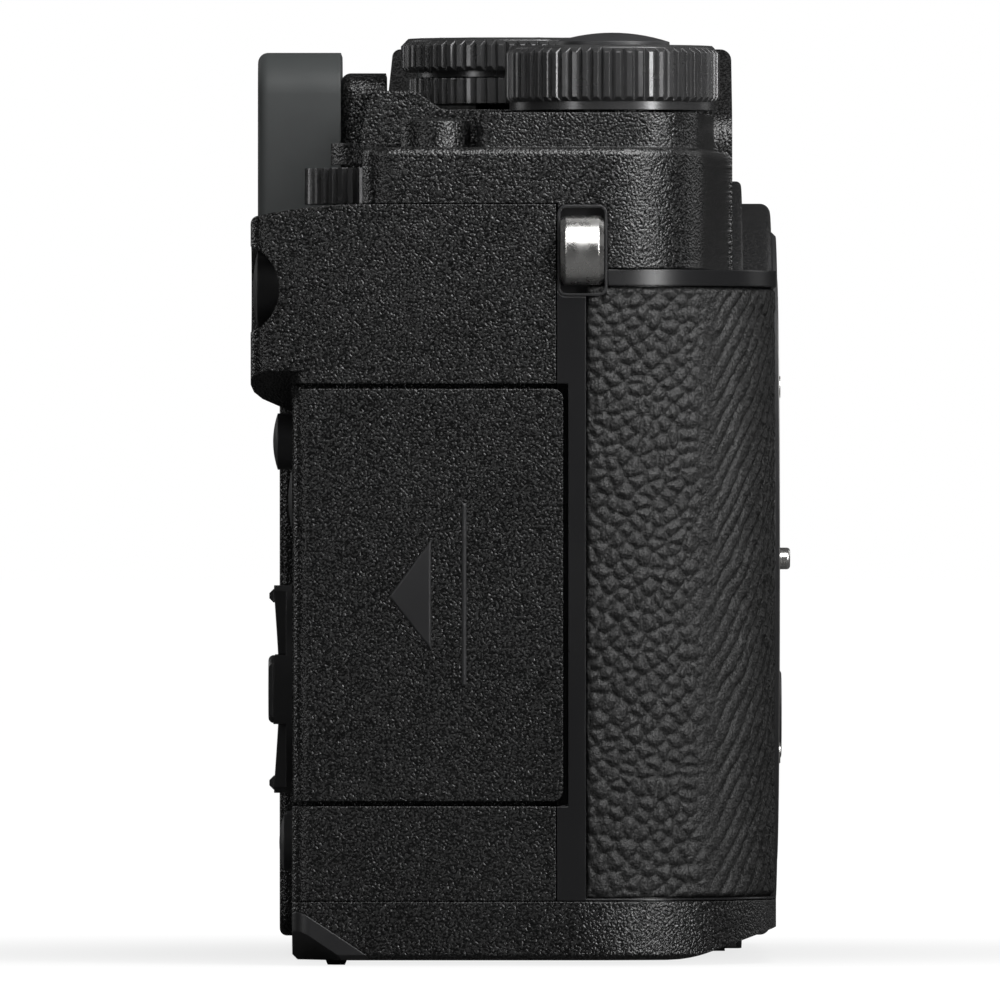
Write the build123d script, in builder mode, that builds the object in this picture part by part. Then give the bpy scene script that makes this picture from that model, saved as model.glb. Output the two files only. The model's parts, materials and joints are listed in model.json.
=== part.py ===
from build123d import *
import math
import os

os.makedirs("parts", exist_ok=True)

# A film-style mirrorless camera body. Millimetres, +Z up, z = 0 under the base pads.
# The lens mount faces -Y, and the user's right hand is at -X.

# Overall outline
body_width = 139.3
front_y = -24.05
rear_y = 22.3
end_radius = 19.0
rear_corner_radius = 1.8
base_bottom = 0.52
base_seam = 6.1
ledge_top = 66.4
rear_cover_top = ledge_top + 6.2
shoulder_top = rear_cover_top + 5.45
leather_bottom = base_seam + 0.3
leather_top = ledge_top - 1.55
leather_thickness = 0.8
leather_start_y = -5.74
cover_split_y = -2.97
seam = 0.1
fit_gap = 0.1
button_gap = 0.12
shaft_gap = 0.05

side_x = body_width / 2

# Lens mount
lens_x = 7.0
lens_z = 37.6
boss_radius = 38.1
boss_front_y = -21.2
boss_back_y = -16.0
boss_edge_round = 0.5
inner_boss_radius = 35.9
inner_boss_round = 1.0
leather_bore = inner_boss_radius + 1.3
trim_ring_radius = 33.1
trim_ring_front_y = -24.6
trim_ring_depth = 2.6
flange_radius = 29.0
flange_front_y = -24.74
flange_depth = 3.8
throat_radius = 21.0
lug_radius = 19.4
lug_angle = 52.0
lug_depth = 1.5
lug_start = 1.2
throat_bore = 23.5
mechanism_front_y = -14.5
mechanism_half_width = 24.0
mechanism_half_height = 23.5
flange_distance = 19.25
frame_front_bore = 19.2
contact_inner_radius = 17.6
baffle_thickness = 2.0
baffle_opening = (27.0, 22.0)
shutter_opening = (21.0, 16.5)
shutter_half_width = 21.0
shutter_half_height = 20.0
shutter_thickness = 3.6
sensor_glass = (22.5, 18.5, 1.4)
contact_angle = 60.0
board_thickness = 1.4

# Top cover
top_inset = 0.2
top_half_width = side_x - top_inset
top_rear_y = 15.6
top_rear_radius = 3.0
top_front_radius = 9.0
top_front_y = -16.47
top_front_slope = 4.0
hump_half_width = 29.0
hump_side_top = shoulder_top + 3.45
hump_top_half_width = 16.0
hump_top = shoulder_top + 10.35
hump_front_y = -20.1
hump_rear_y = 13.5
hump_top_round = 2.0
hump_side_round = 4.0
hump_front_round = 1.1
hump_rear_round = 0.8
hump_rear_lean = 0.6

# Strap lugs
strap_front_y = -7.83
strap_rear_y = -2.97
strap_bottom = rear_cover_top - 8.8
strap_depth = 3.0
strap_rim = 0.3
strap_corner = 0.9
lug_foot = 0.7
lug_bar_width = 4.15
lug_bar_height = 6.6
lug_bulge = 2.3
lug_bar_thickness = 1.3
lug_bevel = 0.5
lug_mid_y = -5.38
lug_mid_z = rear_cover_top - 4.4

# Dials on the top
front_deck_top = shoulder_top + 3.35
rear_deck_top = shoulder_top + 3.95
front_dial_x = 14.65 - side_x
front_dial_y = -8.3
front_dial_radius = 10.28
front_dial_bottom = front_deck_top + 0.3
front_dial_top = front_dial_bottom + 6.2
front_dial_foot = 0.8
dial_post_radius = 6.0
shutter_radius = 5.5
shutter_top = front_dial_top + 1.3
shutter_seat = shutter_top - 5.0
mode_dial_x = lens_x - hump_half_width - 9.5
mode_dial_y = 1.85
mode_dial_radius = 10.2
mode_lever_radius = 9.55
mode_lever_bottom = rear_deck_top + 0.65
mode_lever_top = mode_lever_bottom + 2.45
mode_dial_bottom = mode_lever_top + 0.7
mode_dial_top = mode_dial_bottom + 3.2
mode_post_radius = 3.0
rib_pitch = 1.07
rib_depth = 0.45
rib_slope = 0.42
dial_clearance = 0.4
wheel_pitch = 1.2
dial_rim = 0.3
wheel_x = 16.65 - side_x
wheel_y = 12.2
wheel_radius = 9.0
wheel_bottom = rear_cover_top + 0.15
wheel_top = wheel_bottom + 3.45
wheel_shaft_radius = 1.5
wheel_shaft_depth = 2.0
wheel_pocket_gap = 0.35
lip_top = wheel_top + 2.4
lip_rear_y = 18.7
lip_radius = 5.5
lip_run = 6.0
shoulder_round = 0.8
deck_inset = 0.6
front_deck_x = 3.65 - side_x
front_deck_rear_y = 4.65
front_deck_corner = 6.0
rear_deck_x = mode_dial_x - 12.8
deck_rear_y = 14.9
deck_ridge = rear_deck_top + 1.8
deck_step_y = 8.1
deck_step_run = 2.5
deck_step_round = 1.5
deck_round = 1.2
deck_overlap = 8.0
lever_angle = -45.0
lever_reach = 12.3
lever_tab = (5.0, 3.0)
small_button_x = 7.45 - side_x
small_button_y = 8.6
small_button_radius = 3.36
small_button_top = shoulder_top + 2.85
record_x = mode_dial_x - 7.5
record_y = -13.0
record_radius = 2.6
record_top = rear_deck_top + 0.9
power_x = side_x - 17.65
power_y = 0.0
power_post_radius = 6.5
power_lever_radius = 9.2
power_lever_bottom = shoulder_top + 0.3
power_lever_top = power_lever_bottom + 3.05
power_post_top = power_lever_top + 0.9
power_tab = (6.0, 3.4)
drive_radius = 4.2
drive_top = power_post_top + 1.1
dioptre_x = 26.6
dioptre_z = hump_side_top + 0.5
dioptre_radius = 3.0
dioptre_length = 3.1
dioptre_shaft_radius = 0.9

# Rear controls
pad_x = 25.65 - side_x
pad_z = 26.2
pad_radius = 10.0
pad_disc_y = 23.0
pad_back_y = 24.65
pad_seat_y = 21.2
pad_hole_radius = 4.7
pad_hole_y = 23.8
pad_end_y = 24.2
pad_arm_width = 6.6
pad_bead = 1.3
pad_bead_width = 5.3
pad_bead_edge = 0.4
ok_radius = 3.27
ok_top = 24.75
button_travel = 0.5
seat_gap = 0.15
ael_x = 8.45 - side_x
ael_radius = 3.6
ael_seat_y = 21.0
ael_top = 26.1
small_rear_radius = 2.7
small_rear_seat_y = 21.0
info_x = 12.65 - side_x
info_z = 50.0
info_top = 24.2
aux_x = 38.15 - side_x
aux_z = 44.5
aux_radius = 3.2
aux_top = 22.95
play_x = 12.65 - side_x
play_z = 11.6
play_top = 23.6
delete_x = 39.65 - side_x
menu_x = side_x - 24.65
menu_z = 64.5
thumb_back_y = 26.25
thumb_bottom = 52.8
thumb_left_x = 32.65 - side_x
thumb_round = 2.0
thumb_edge_round = 0.8
thumb_side_bottom = 56.7
thumb_side_run = 8.6
rear_top_start_y = 15.7
rear_top_end_z = rear_cover_top - 1.27
scoop_radius = 4.45
scoop_z = 64.5
scoop_floor_y = 23.5
scoop_end_x = 8.15 - side_x
coupler_height = 3.4
coupler_length = 5.1
coupler_reach = 6.6
coupler_thickness = 1.4
pad_foot_length = 12.0
pad_foot_width = 2.25
bevel_start_y = -15.5
bevel_angle = 19.0
bevel_round = 12.0

# Monitor
monitor_left_x = side_x - 8.15
monitor_right_x = -18.0
monitor_bottom = 2.0
monitor_top = 56.0
monitor_back_y = 18.3
monitor_face_y = 23.9
monitor_gap = 0.4
monitor_axis_x = side_x - 3.35
monitor_axis_y = 20.3
barrel_radius = 2.9
barrel_bottom = 9.0
barrel_top = 49.0
hinge_pin_radius = 1.0
hinge_pin_depth = 3.0
tilt_shaft_radius = 1.3
tilt_shaft_length = 3.6
glass_size = (72.0, 49.0)
glass_thickness = 0.9

# Card door
door_front_y = -3.55
door_bottom = 15.7
door_top = 55.0
door_gap = 0.5
door_thickness = 2.2
door_tail_radius = 1.6
door_axis_y = 20.55
door_pin_radius = 0.6
bracket_ring_radius = 1.0
bracket_arm_height = 3.6
bracket_arm_offset = 12.0
bracket_plate_end = 8.0
bracket_thickness = 0.6
bracket_gap = 0.15
card_bay_x = 3.35 - side_x
card_unit_depth = 34.0
card_pitch = 6.0
card_unit_wall = 1.8
card_middle_y = 8.0
card_depth = 32.0
card_slot_width = 24.5
card_slot_height = 2.4

# Battery
battery_left_x = -20.9
battery_right_x = -57.6
battery_front_y = -17.6
battery_back_y = -4.4
battery_bottom = 3.4
battery_top = 56.0
chamber_wall = 0.9
battery_gap = 0.3
battery_door_thickness = 1.9
battery_pin_radius = 0.5
battery_barrel_radius = 0.93
latch_length = 3.4
latch_width = 6.4
latch_travel = 2.0
latch_thickness = 0.9

# Tripod socket
tripod_radius = 2.6
tripod_depth = 4.8
bush_radius = 5.0
tripod_y = 1.0
foot_x = side_x - 11.65
foot_step = 14.0
foot_rear_y = 18.1
foot_front_y = -7.9

# Front fittings
release_x = 47.0
release_z = 23.0
release_radius = 4.6
release_top_y = -25.6
release_length = 5.0
release_travel = 1.5
lock_pin_offset = 27.0
lock_pin_rise = 1.0
lock_pin_radius = 1.08
lock_pin_tip_y = -26.33
lock_pin_length = 7.2
lock_pin_travel = 1.6
lamp_x = -37.0
lamp_z = 58.5
lamp_radius = 3.2
lamp_depth = 2.4

# Viewfinder
finder_half_width = 15.0
finder_bottom = 66.3
finder_top = 86.1
finder_back_y = 18.0
eyecup_half_width = 17.0
eyecup_bottom = 66.5
eyecup_top = 88.1
eyecup_back_y = 26.1
eyecup_hollow_width = 22.0
eyecup_hollow_height = 13.0
eyecup_round = 1.0
finder_window_depth = 3.2
shoe_floor = 86.15
shoe_length = 18.0
shoe_width = 18.8
shoe_wall = 1.3
shoe_slot = 2.1
shoe_lip = 0.6
shoe_lip_reach = 3.9
shoe_rear_y = 11.8

# Left side covers over the sockets
terminal_front_y = -1.2
terminal_rear_y = 12.4
terminal_thickness = 1.3
terminal_split_z = 39.8
terminal_bottom = 12.0
terminal_top = 58.0
socket_radius = 1.75
socket_depth = 4.0
data_socket = (3.2, 8.9, 1.5)

# Places that follow from the sizes above
ring_back_y = trim_ring_front_y + trim_ring_depth
flange_back_y = flange_front_y + flange_depth
mechanism_span = (lens_x - mechanism_half_width, lens_x + mechanism_half_width)
mechanism_heights = (lens_z - mechanism_half_height, lens_z + mechanism_half_height)
strap_floor_x = side_x - strap_depth
strap_plate_x = strap_floor_x + 1.4
carrier_front_y = mechanism_front_y + shutter_thickness + 0.2
carrier_back_y = flange_front_y + flange_distance + 0.6
sensor_glass_back_y = carrier_front_y + 2.0
door_axis_x = door_tail_radius - side_x
door_middle_z = (door_bottom + door_top) / 2
chamber_x = (battery_right_x - battery_gap - chamber_wall, battery_left_x + battery_gap + chamber_wall)
chamber_y = (battery_front_y - battery_gap - chamber_wall, battery_back_y + battery_gap + chamber_wall)
chamber_top = battery_top + battery_gap + chamber_wall
battery_door_x = (chamber_x[0] - 1.4, chamber_x[1] + 1.5)
battery_door_y = (chamber_y[0] - 0.6, chamber_y[1] + 0.6)
battery_axis_z = base_bottom + battery_door_thickness / 2
pin_x = lens_x + lock_pin_offset
pin_z = lens_z + lock_pin_rise
pin_floor_y = lock_pin_tip_y + lock_pin_length + lock_pin_travel + 0.3
release_floor_y = release_top_y + release_length + release_travel + 0.3
lamp_back_y = front_y + lamp_depth
hump_left_x = lens_x + hump_half_width
hump_right_x = lens_x - hump_half_width
finder_x = (lens_x - finder_half_width, lens_x + finder_half_width)
glass_middle_x = (monitor_right_x + monitor_left_x) / 2
pad_bead_middle = math.sqrt(pad_radius ** 2 - pad_bead_width ** 2 / 4) - pad_bead / 2
glass_middle_z = (monitor_bottom + monitor_top) / 2
block_middle_z = (barrel_bottom + barrel_top) / 2
arm_middles = (door_middle_z - bracket_arm_offset, door_middle_z + bracket_arm_offset)
arm_space = bracket_arm_height + 0.4
bracket_plate_x = door_thickness - side_x + bracket_gap
latch_x = battery_door_x[0] + 5.0
latch_y = (battery_door_y[0] + battery_door_y[1]) / 2 + 1.0
finder_z = (eyecup_bottom + eyecup_top) / 2
shoe_x = (lens_x - shoe_width / 2 - shoe_wall, lens_x + shoe_width / 2 + shoe_wall)
shoe_front_y = shoe_rear_y - shoe_length
rear_top_run = thumb_back_y - rear_top_start_y
rear_top_fall = rear_cover_top - rear_top_end_z
rear_top_middle = (rear_top_start_y + rear_top_run / 2, rear_cover_top - 0.255 * rear_top_fall)
thumb_top_z = rear_cover_top - 0.86 * rear_top_fall
monitor_floor_y = monitor_back_y - monitor_gap
terminal_floor_x = side_x - terminal_thickness - 0.15
terminal_axis_x = side_x - terminal_thickness / 2
terminal_axis_y = terminal_rear_y - terminal_thickness / 2
terminal_middle_y = (terminal_front_y + terminal_rear_y) / 2
small_button_seat = wheel_top + wheel_pocket_gap + 0.3 + button_travel + seat_gap
record_seat = record_top - 2.6
drive_seat = drive_top - 3.0
card_unit_x = (card_bay_x, card_bay_x + card_unit_depth)
card_unit_y = (card_middle_y - card_pitch / 2 - card_slot_height / 2 - card_unit_wall,
               card_middle_y + card_pitch / 2 + card_slot_height / 2 + card_unit_wall)
card_unit_z = (door_middle_z - card_slot_width / 2 - card_unit_wall,
               door_middle_z + card_slot_width / 2 + card_unit_wall)
hinge_plate_x = (monitor_left_x + 0.7, side_x - 0.4)
hinge_plate_y = (monitor_axis_y - barrel_radius - 1.8, monitor_axis_y - barrel_radius - 0.4)
hinge_plate_z = (base_seam + 0.3, barrel_top + 3.0)
coupler_plane = Plane(
    origin=(-side_x, rear_y - coupler_length, base_bottom),
    x_dir=(0, coupler_length, coupler_height),
    z_dir=Vector(0, coupler_length, coupler_height).cross(Vector(coupler_reach, coupler_length, 0)),
)
foot_places = (
    (-foot_x, foot_rear_y),
    (foot_x, foot_rear_y - 2.6),
    (-foot_x + foot_step, foot_front_y),
    (foot_x - foot_step, foot_front_y),
)
rear_pockets = (
    (pad_x, pad_z, pad_radius, pad_seat_y),
    (ael_x, scoop_z, ael_radius, ael_seat_y),
    (info_x, info_z, small_rear_radius, small_rear_seat_y),
    (aux_x, aux_z, aux_radius, small_rear_seat_y),
    (play_x, play_z, small_rear_radius, small_rear_seat_y),
    (delete_x, play_z, small_rear_radius, small_rear_seat_y),
    (menu_x, menu_z, small_rear_radius, small_rear_seat_y),
)


def span_box(x0, x1, y0, y1, z0, z1, mode=Mode.ADD):
    """A box between two corners, in the part that is being built."""
    with Locations(((x0 + x1) / 2, (y0 + y1) / 2, (z0 + z1) / 2)):
        Box(x1 - x0, y1 - y0, z1 - z0, mode=mode)


def depth_disc(x, z, y0, y1, radius, mode=Mode.ADD):
    """A cylinder along Y from y0 to y1."""
    with Locations((x, (y0 + y1) / 2, z)):
        Cylinder(radius, y1 - y0, rotation=(90, 0, 0), mode=mode)


def upright_disc(x, y, z0, z1, radius, mode=Mode.ADD):
    """A cylinder along Z from z0 to z1."""
    with Locations((x, y, (z0 + z1) / 2)):
        Cylinder(radius, z1 - z0, mode=mode)


def body_plan(inset):
    """The body's outline from above: a flat front with quarter-round ends and a nearly square rear."""
    with BuildSketch() as plan:
        with Locations((0, (front_y + rear_y) / 2)):
            Rectangle(body_width - 2 * inset, rear_y - front_y - 2 * inset)
        fillet(plan.vertices().group_by(Axis.Y)[0], end_radius - inset)
        fillet(plan.vertices().group_by(Axis.Y)[-1], rear_corner_radius)
    return plan.sketch


def top_front_at(x):
    """Where the top cover's slanted front stands at a distance from the middle."""
    return top_front_y - (top_half_width - abs(x)) * math.tan(math.radians(top_front_slope))


def top_plan(inset):
    """The top cover's outline from above, with a front that slants toward the hump."""
    with BuildSketch() as plan:
        with BuildLine():
            Polyline(
                (-top_half_width, top_rear_y),
                (-top_half_width, top_front_y),
                (hump_right_x, top_front_at(hump_right_x)),
                (hump_left_x, top_front_at(hump_left_x)),
                (top_half_width, top_front_y),
                (top_half_width, top_rear_y),
                close=True,
            )
        make_face()
        corners = plan.vertices().sort_by(Axis.X)
        outer = corners[0:2] + corners[-2:]
        fillet([v for v in outer if v.Y < 0], top_front_radius)
        rear = plan.vertices().group_by(Axis.Y)[-1]
        fillet(rear, top_rear_radius)
        if inset:
            offset(amount=-inset)
    return plan.sketch


def knurled_disc(radius, pitch, depth):
    """A round outline with pointed ribs all the way around, as on a machined dial."""
    count = round(2 * math.pi * radius / pitch)
    points = []
    for i in range(count):
        for step, r in ((0.0, radius - depth), (0.3, radius), (0.7, radius)):
            angle = 2 * math.pi * (i + step) / count
            points.append((r * math.cos(angle), r * math.sin(angle)))
    with BuildSketch() as outline:
        with BuildLine():
            Polyline(*points, close=True)
        make_face()
    return outline.sketch


def ribbed_disc(x, y, z0, z1, radius, pitch, slope=0):
    """A knurled disc, whose ribs may end in short slopes above and below."""
    with BuildPart(mode=Mode.PRIVATE) as disc:
        with BuildSketch(Plane.XY.offset(z0)):
            with Locations((x, y)):
                add(knurled_disc(radius, pitch, rib_depth))
        extrude(amount=z1 - z0)
        if slope > 0:
            with BuildPart(mode=Mode.INTERSECT) as envelope:
                upright_disc(x, y, z0, z1, radius)
                chamfer(envelope.edges().filter_by(GeomType.CIRCLE), slope)
    return disc.part


def domed_button(plane, seat, edge, top, radius):
    """A round button with a low dome, turned about the plane's own y direction."""
    sag = top - edge
    ball = (radius * radius + sag * sag) / (2 * sag)
    middle = (0.6 * radius, top - ball + math.sqrt(ball * ball - 0.36 * radius * radius))
    with BuildPart() as button:
        with BuildSketch(plane):
            with BuildLine():
                Polyline((0, seat), (radius, seat), (radius, edge))
                ThreePointArc((radius, edge), middle, (0, top))
                Line((0, top), (0, seat))
            make_face()
        revolve(axis=Axis(plane.origin, plane.y_dir))
    return button.part


def rear_plane(x, z):
    """A plane whose own y direction is +Y, for what is turned about an axis that points to the rear."""
    return Plane(origin=(x, 0, z), x_dir=(1, 0, 0), z_dir=(0, 0, 1))


def top_plane(x, y):
    """A plane whose own y direction is +Z, for what is turned about an upright axis."""
    return Plane(origin=(x, y, 0), x_dir=(1, 0, 0), z_dir=(0, -1, 0))


def card_bay():
    """The pocket in the right side that the card door closes."""
    span_box(-side_x, card_bay_x, door_front_y - door_gap, rear_y,
             door_bottom - door_gap, door_top + door_gap, mode=Mode.SUBTRACT)


def strap_outline(x, inset):
    """The rounded outline of a strap recess, on an upright plane at x."""
    width = strap_rear_y - strap_front_y - 2 * inset
    height = rear_cover_top - strap_bottom - 2 * inset
    middle = ((strap_front_y + strap_rear_y) / 2, (strap_bottom + rear_cover_top) / 2)
    with BuildSketch(Plane.YZ.offset(x)) as outline:
        with Locations(middle):
            RectangleRounded(width, height, strap_corner - inset)
    return outline.sketch


def strap_pockets():
    """The two pockets for the strap recess frames."""
    for side in (-1, 1):
        extrude(strap_outline(side * strap_floor_x, 0), amount=side * strap_depth, mode=Mode.SUBTRACT)


def base_bevel():
    """Cuts the underside away toward the front in a shallow slope."""
    rise = (bevel_start_y - front_y + 2) * math.tan(math.radians(bevel_angle))
    with BuildSketch(Plane.YZ.offset(-side_x)) as wedge:
        with BuildLine():
            Polyline(
                (bevel_start_y + 8, base_bottom - 2),
                (bevel_start_y + 8, base_bottom),
                (bevel_start_y, base_bottom),
                (front_y - 2, base_bottom + rise),
                (front_y - 2, base_bottom - 2),
                close=True,
            )
        make_face()
        fillet(vertices().sort_by_distance((bevel_start_y, base_bottom))[0], bevel_round)
    extrude(wedge.sketch, amount=body_width, mode=Mode.SUBTRACT)


# Front body: the chassis casting with the mount boss, the throat and the battery bay
with BuildPart() as front_body:
    with BuildSketch(Plane.XY.offset(base_seam + seam)):
        add(body_plan(0))
    extrude(amount=ledge_top - base_seam - seam)
    span_box(-side_x, side_x, cover_split_y, rear_y, base_seam, ledge_top, mode=Mode.SUBTRACT)
    with BuildSketch(Plane.XY.offset(leather_bottom)):
        Rectangle(2 * body_width, 2 * body_width)
        add(body_plan(leather_thickness), mode=Mode.SUBTRACT)
        with Locations((0, leather_start_y + body_width)):
            Rectangle(2 * body_width, 2 * body_width, mode=Mode.SUBTRACT)
    extrude(amount=leather_top - leather_bottom, mode=Mode.SUBTRACT)
    with BuildSketch(rear_plane(lens_x, lens_z)):
        with BuildLine():
            Polyline(
                (0, boss_back_y),
                (boss_radius, boss_back_y),
                (boss_radius, boss_front_y),
                (inner_boss_radius, boss_front_y),
                (inner_boss_radius, front_y),
                (0, front_y),
                close=True,
            )
        make_face()
        fillet(vertices().sort_by_distance((boss_radius, boss_front_y))[0], boss_edge_round)
        fillet(vertices().sort_by_distance((inner_boss_radius, front_y))[0], inner_boss_round)
    revolve(axis=Axis((lens_x, 0, lens_z), (0, 1, 0)))
    span_box(lens_x - boss_radius, lens_x + boss_radius, front_y, boss_back_y,
             lens_z - boss_radius - 1, base_bottom, mode=Mode.SUBTRACT)
    depth_disc(lens_x, lens_z, front_y, ring_back_y, trim_ring_radius + fit_gap, mode=Mode.SUBTRACT)
    depth_disc(lens_x, lens_z, ring_back_y, flange_back_y, flange_radius + fit_gap, mode=Mode.SUBTRACT)
    depth_disc(lens_x, lens_z, front_y, mechanism_front_y, throat_bore, mode=Mode.SUBTRACT)
    span_box(*mechanism_span, mechanism_front_y, cover_split_y, *mechanism_heights, mode=Mode.SUBTRACT)
    span_box(*chamber_x, *chamber_y, base_seam, chamber_top, mode=Mode.SUBTRACT)
    strap_pockets()
    card_bay()
    depth_disc(release_x, release_z, front_y, release_floor_y, release_radius + button_gap,
               mode=Mode.SUBTRACT)
    depth_disc(pin_x, pin_z, front_y, pin_floor_y, lock_pin_radius + shaft_gap, mode=Mode.SUBTRACT)
    depth_disc(lamp_x, lamp_z, front_y, lamp_back_y, lamp_radius + fit_gap, mode=Mode.SUBTRACT)
front_body.part.label = "front_body"
export_step(front_body.part, "parts/front_body.step")

# Two leather skins, one on each side of the boss
for name, x0, x1 in (("leather_right", -side_x, lens_x), ("leather_left", lens_x, side_x)):
    with BuildPart() as leather:
        with BuildSketch(Plane.XY.offset(leather_bottom + seam)):
            add(body_plan(0))
            add(body_plan(leather_thickness), mode=Mode.SUBTRACT)
        extrude(amount=leather_top - leather_bottom - 2 * seam)
        span_box(-side_x, side_x, leather_start_y - seam, rear_y, base_seam, ledge_top, mode=Mode.SUBTRACT)
        depth_disc(lens_x, lens_z, front_y, 0, leather_bore, mode=Mode.SUBTRACT)
        depth_disc(release_x, release_z, front_y, 0, release_radius + button_gap + seam, mode=Mode.SUBTRACT)
        depth_disc(lamp_x, lamp_z, front_y, 0, lamp_radius + fit_gap, mode=Mode.SUBTRACT)
        strap_pockets()
        span_box(x0, x1, front_y, 0, base_seam, ledge_top, mode=Mode.INTERSECT)
    leather.part.label = name
    export_step(leather.part, f"parts/{name}.step")

# Top cover: shoulders, two raised decks, the viewfinder hump and the lip over the thumb wheel
with BuildPart() as top_cover:
    with BuildSketch(Plane.XY.offset(rear_cover_top + seam)):
        add(top_plan(0))
    extrude(amount=shoulder_top - rear_cover_top - seam)
    fillet(top_cover.faces().sort_by(Axis.Z)[-1].edges(), shoulder_round)
    with BuildSketch(Plane.XY.offset(ledge_top + seam)):
        add(top_plan(0))
        with Locations((0, body_width + cover_split_y - seam)):
            Rectangle(2 * body_width, 2 * body_width, mode=Mode.SUBTRACT)
    extrude(amount=rear_cover_top - ledge_top)
    # Deck under the front dial
    with BuildSketch(Plane.XY.offset(rear_cover_top + 1)):
        with BuildLine():
            Polyline(
                (front_deck_x, front_deck_rear_y),
                (front_deck_x, top_front_at(front_deck_x) + deck_inset),
                (rear_deck_x + deck_overlap, top_front_at(rear_deck_x + deck_overlap) + deck_inset),
                (rear_deck_x + deck_overlap, front_deck_rear_y),
                close=True,
            )
        make_face()
        fillet(vertices().sort_by_distance((front_deck_x, top_front_y))[0], front_deck_corner)
        fillet(vertices().sort_by_distance((front_deck_x, front_deck_rear_y))[0], deck_round)
    extrude(amount=front_deck_top - rear_cover_top - 1)
    # Deck under the mode dial, with a ridge and a step along its rear
    with BuildSketch(Plane.YZ.offset(rear_deck_x)):
        with BuildLine():
            Polyline(
                (deck_rear_y + 1.0, shoulder_top - 2),
                (deck_rear_y + 0.9, deck_ridge - 4.0),
                (deck_rear_y, deck_ridge),
                (deck_step_y + deck_step_run, deck_ridge),
                (deck_step_y, rear_deck_top),
                (top_front_at(rear_deck_x) + deck_inset, rear_deck_top),
                (top_front_at(rear_deck_x) + deck_inset, shoulder_top - 2),
                close=True,
            )
        make_face()
        fillet(vertices().sort_by_distance((deck_rear_y, deck_ridge))[0], deck_round)
        fillet(vertices().sort_by_distance((deck_step_y + deck_step_run, deck_ridge))[0], deck_step_round)
        fillet(vertices().sort_by_distance((deck_step_y, rear_deck_top))[0], deck_step_round)
    extrude(amount=hump_right_x - rear_deck_x + 1)
    # Hump over the viewfinder
    with BuildPart(mode=Mode.PRIVATE) as hump:
        with BuildSketch(Plane.XZ.offset(-hump_rear_y)):
            with BuildLine():
                Polyline(
                    (hump_right_x, ledge_top + seam),
                    (hump_right_x, hump_side_top),
                    (lens_x - hump_top_half_width, hump_top),
                    (lens_x + hump_top_half_width, hump_top),
                    (hump_left_x, hump_side_top),
                    (hump_left_x, ledge_top + seam),
                    close=True,
                )
            make_face()
            fillet(vertices().group_by(Axis.Y)[-1], hump_top_round)
            fillet(vertices().sort_by_distance((hump_right_x, hump_side_top))[0], hump_side_round)
            fillet(vertices().sort_by_distance((hump_left_x, hump_side_top))[0], hump_side_round)
        extrude(amount=hump_rear_y - hump_front_y)
        with BuildSketch(Plane.YZ.offset(hump_right_x)):
            with BuildLine():
                Polyline(
                    (hump_front_y, ledge_top),
                    (hump_front_y, hump_top),
                    (hump_rear_y - hump_rear_lean, hump_top),
                    (hump_rear_y, hump_side_top + hump_rear_lean),
                    (hump_rear_y, ledge_top),
                    close=True,
                )
            make_face()
            fillet(vertices().sort_by_distance((hump_front_y, hump_top))[0], hump_front_round)
            fillet(vertices().sort_by_distance((hump_rear_y, hump_top))[0], hump_rear_round)
        extrude(amount=2 * hump_half_width, mode=Mode.INTERSECT)
    add(hump.part)
    # Lip that covers the thumb wheel
    with BuildSketch(Plane.XY.offset(wheel_top + wheel_pocket_gap)):
        with Locations((wheel_x, lip_rear_y - lip_radius)):
            Circle(lip_radius)
        with Locations((wheel_x, lip_rear_y - lip_radius - lip_run / 2)):
            Rectangle(2 * lip_radius, lip_run)
    extrude(amount=lip_top - wheel_top - wheel_pocket_gap)
    # Round clearance in the ridge for the mode dial
    upright_disc(mode_dial_x, mode_dial_y, rear_deck_top, mode_dial_top, mode_dial_radius + dial_clearance,
                 mode=Mode.SUBTRACT)
    # Posts that carry the dials
    upright_disc(front_dial_x, front_dial_y, shoulder_top, front_dial_top - 0.3, dial_post_radius)
    upright_disc(mode_dial_x, mode_dial_y, shoulder_top, mode_dial_top - 1.5, mode_post_radius)
    upright_disc(power_x, power_y, shoulder_top - 1, power_post_top, power_post_radius)
    # Lower front, cut back to the seam and around the boss
    span_box(hump_right_x - 1, hump_left_x + 1, cover_split_y - seam, rear_y,
             ledge_top, rear_cover_top + seam, mode=Mode.SUBTRACT)
    depth_disc(lens_x, lens_z, front_y, boss_back_y + fit_gap, boss_radius + fit_gap, mode=Mode.SUBTRACT)
    strap_pockets()
    # Pockets under what moves
    upright_disc(front_dial_x, front_dial_y, front_dial_bottom + 1.5, front_dial_top,
                 shutter_radius + button_gap, mode=Mode.SUBTRACT)
    upright_disc(wheel_x, wheel_y, rear_cover_top, wheel_top + wheel_pocket_gap,
                 wheel_radius + wheel_pocket_gap, mode=Mode.SUBTRACT)
    upright_disc(small_button_x, small_button_y, small_button_seat - button_travel - seat_gap,
                 small_button_top, small_button_radius + button_gap, mode=Mode.SUBTRACT)
    upright_disc(record_x, record_y, record_seat - button_travel - seat_gap,
                 record_top, record_radius + button_gap, mode=Mode.SUBTRACT)
    upright_disc(power_x, power_y, drive_seat - button_travel - seat_gap,
                 drive_top, drive_radius + button_gap, mode=Mode.SUBTRACT)
    depth_disc(dioptre_x, dioptre_z, hump_rear_y - 3, hump_rear_y, dioptre_shaft_radius + shaft_gap,
               mode=Mode.SUBTRACT)
    # Seats for the hot shoe and the viewfinder housing
    span_box(shoe_x[0] - fit_gap, shoe_x[1] + fit_gap, shoe_front_y - fit_gap, hump_rear_y,
             shoe_floor - 0.7, hump_top, mode=Mode.SUBTRACT)
    span_box(finder_x[0] - fit_gap, finder_x[1] + fit_gap, hump_rear_y, rear_y,
             rear_cover_top, finder_top, mode=Mode.SUBTRACT)
top_cover.part.label = "top_cover"
export_step(top_cover.part, "parts/top_cover.step")

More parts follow.
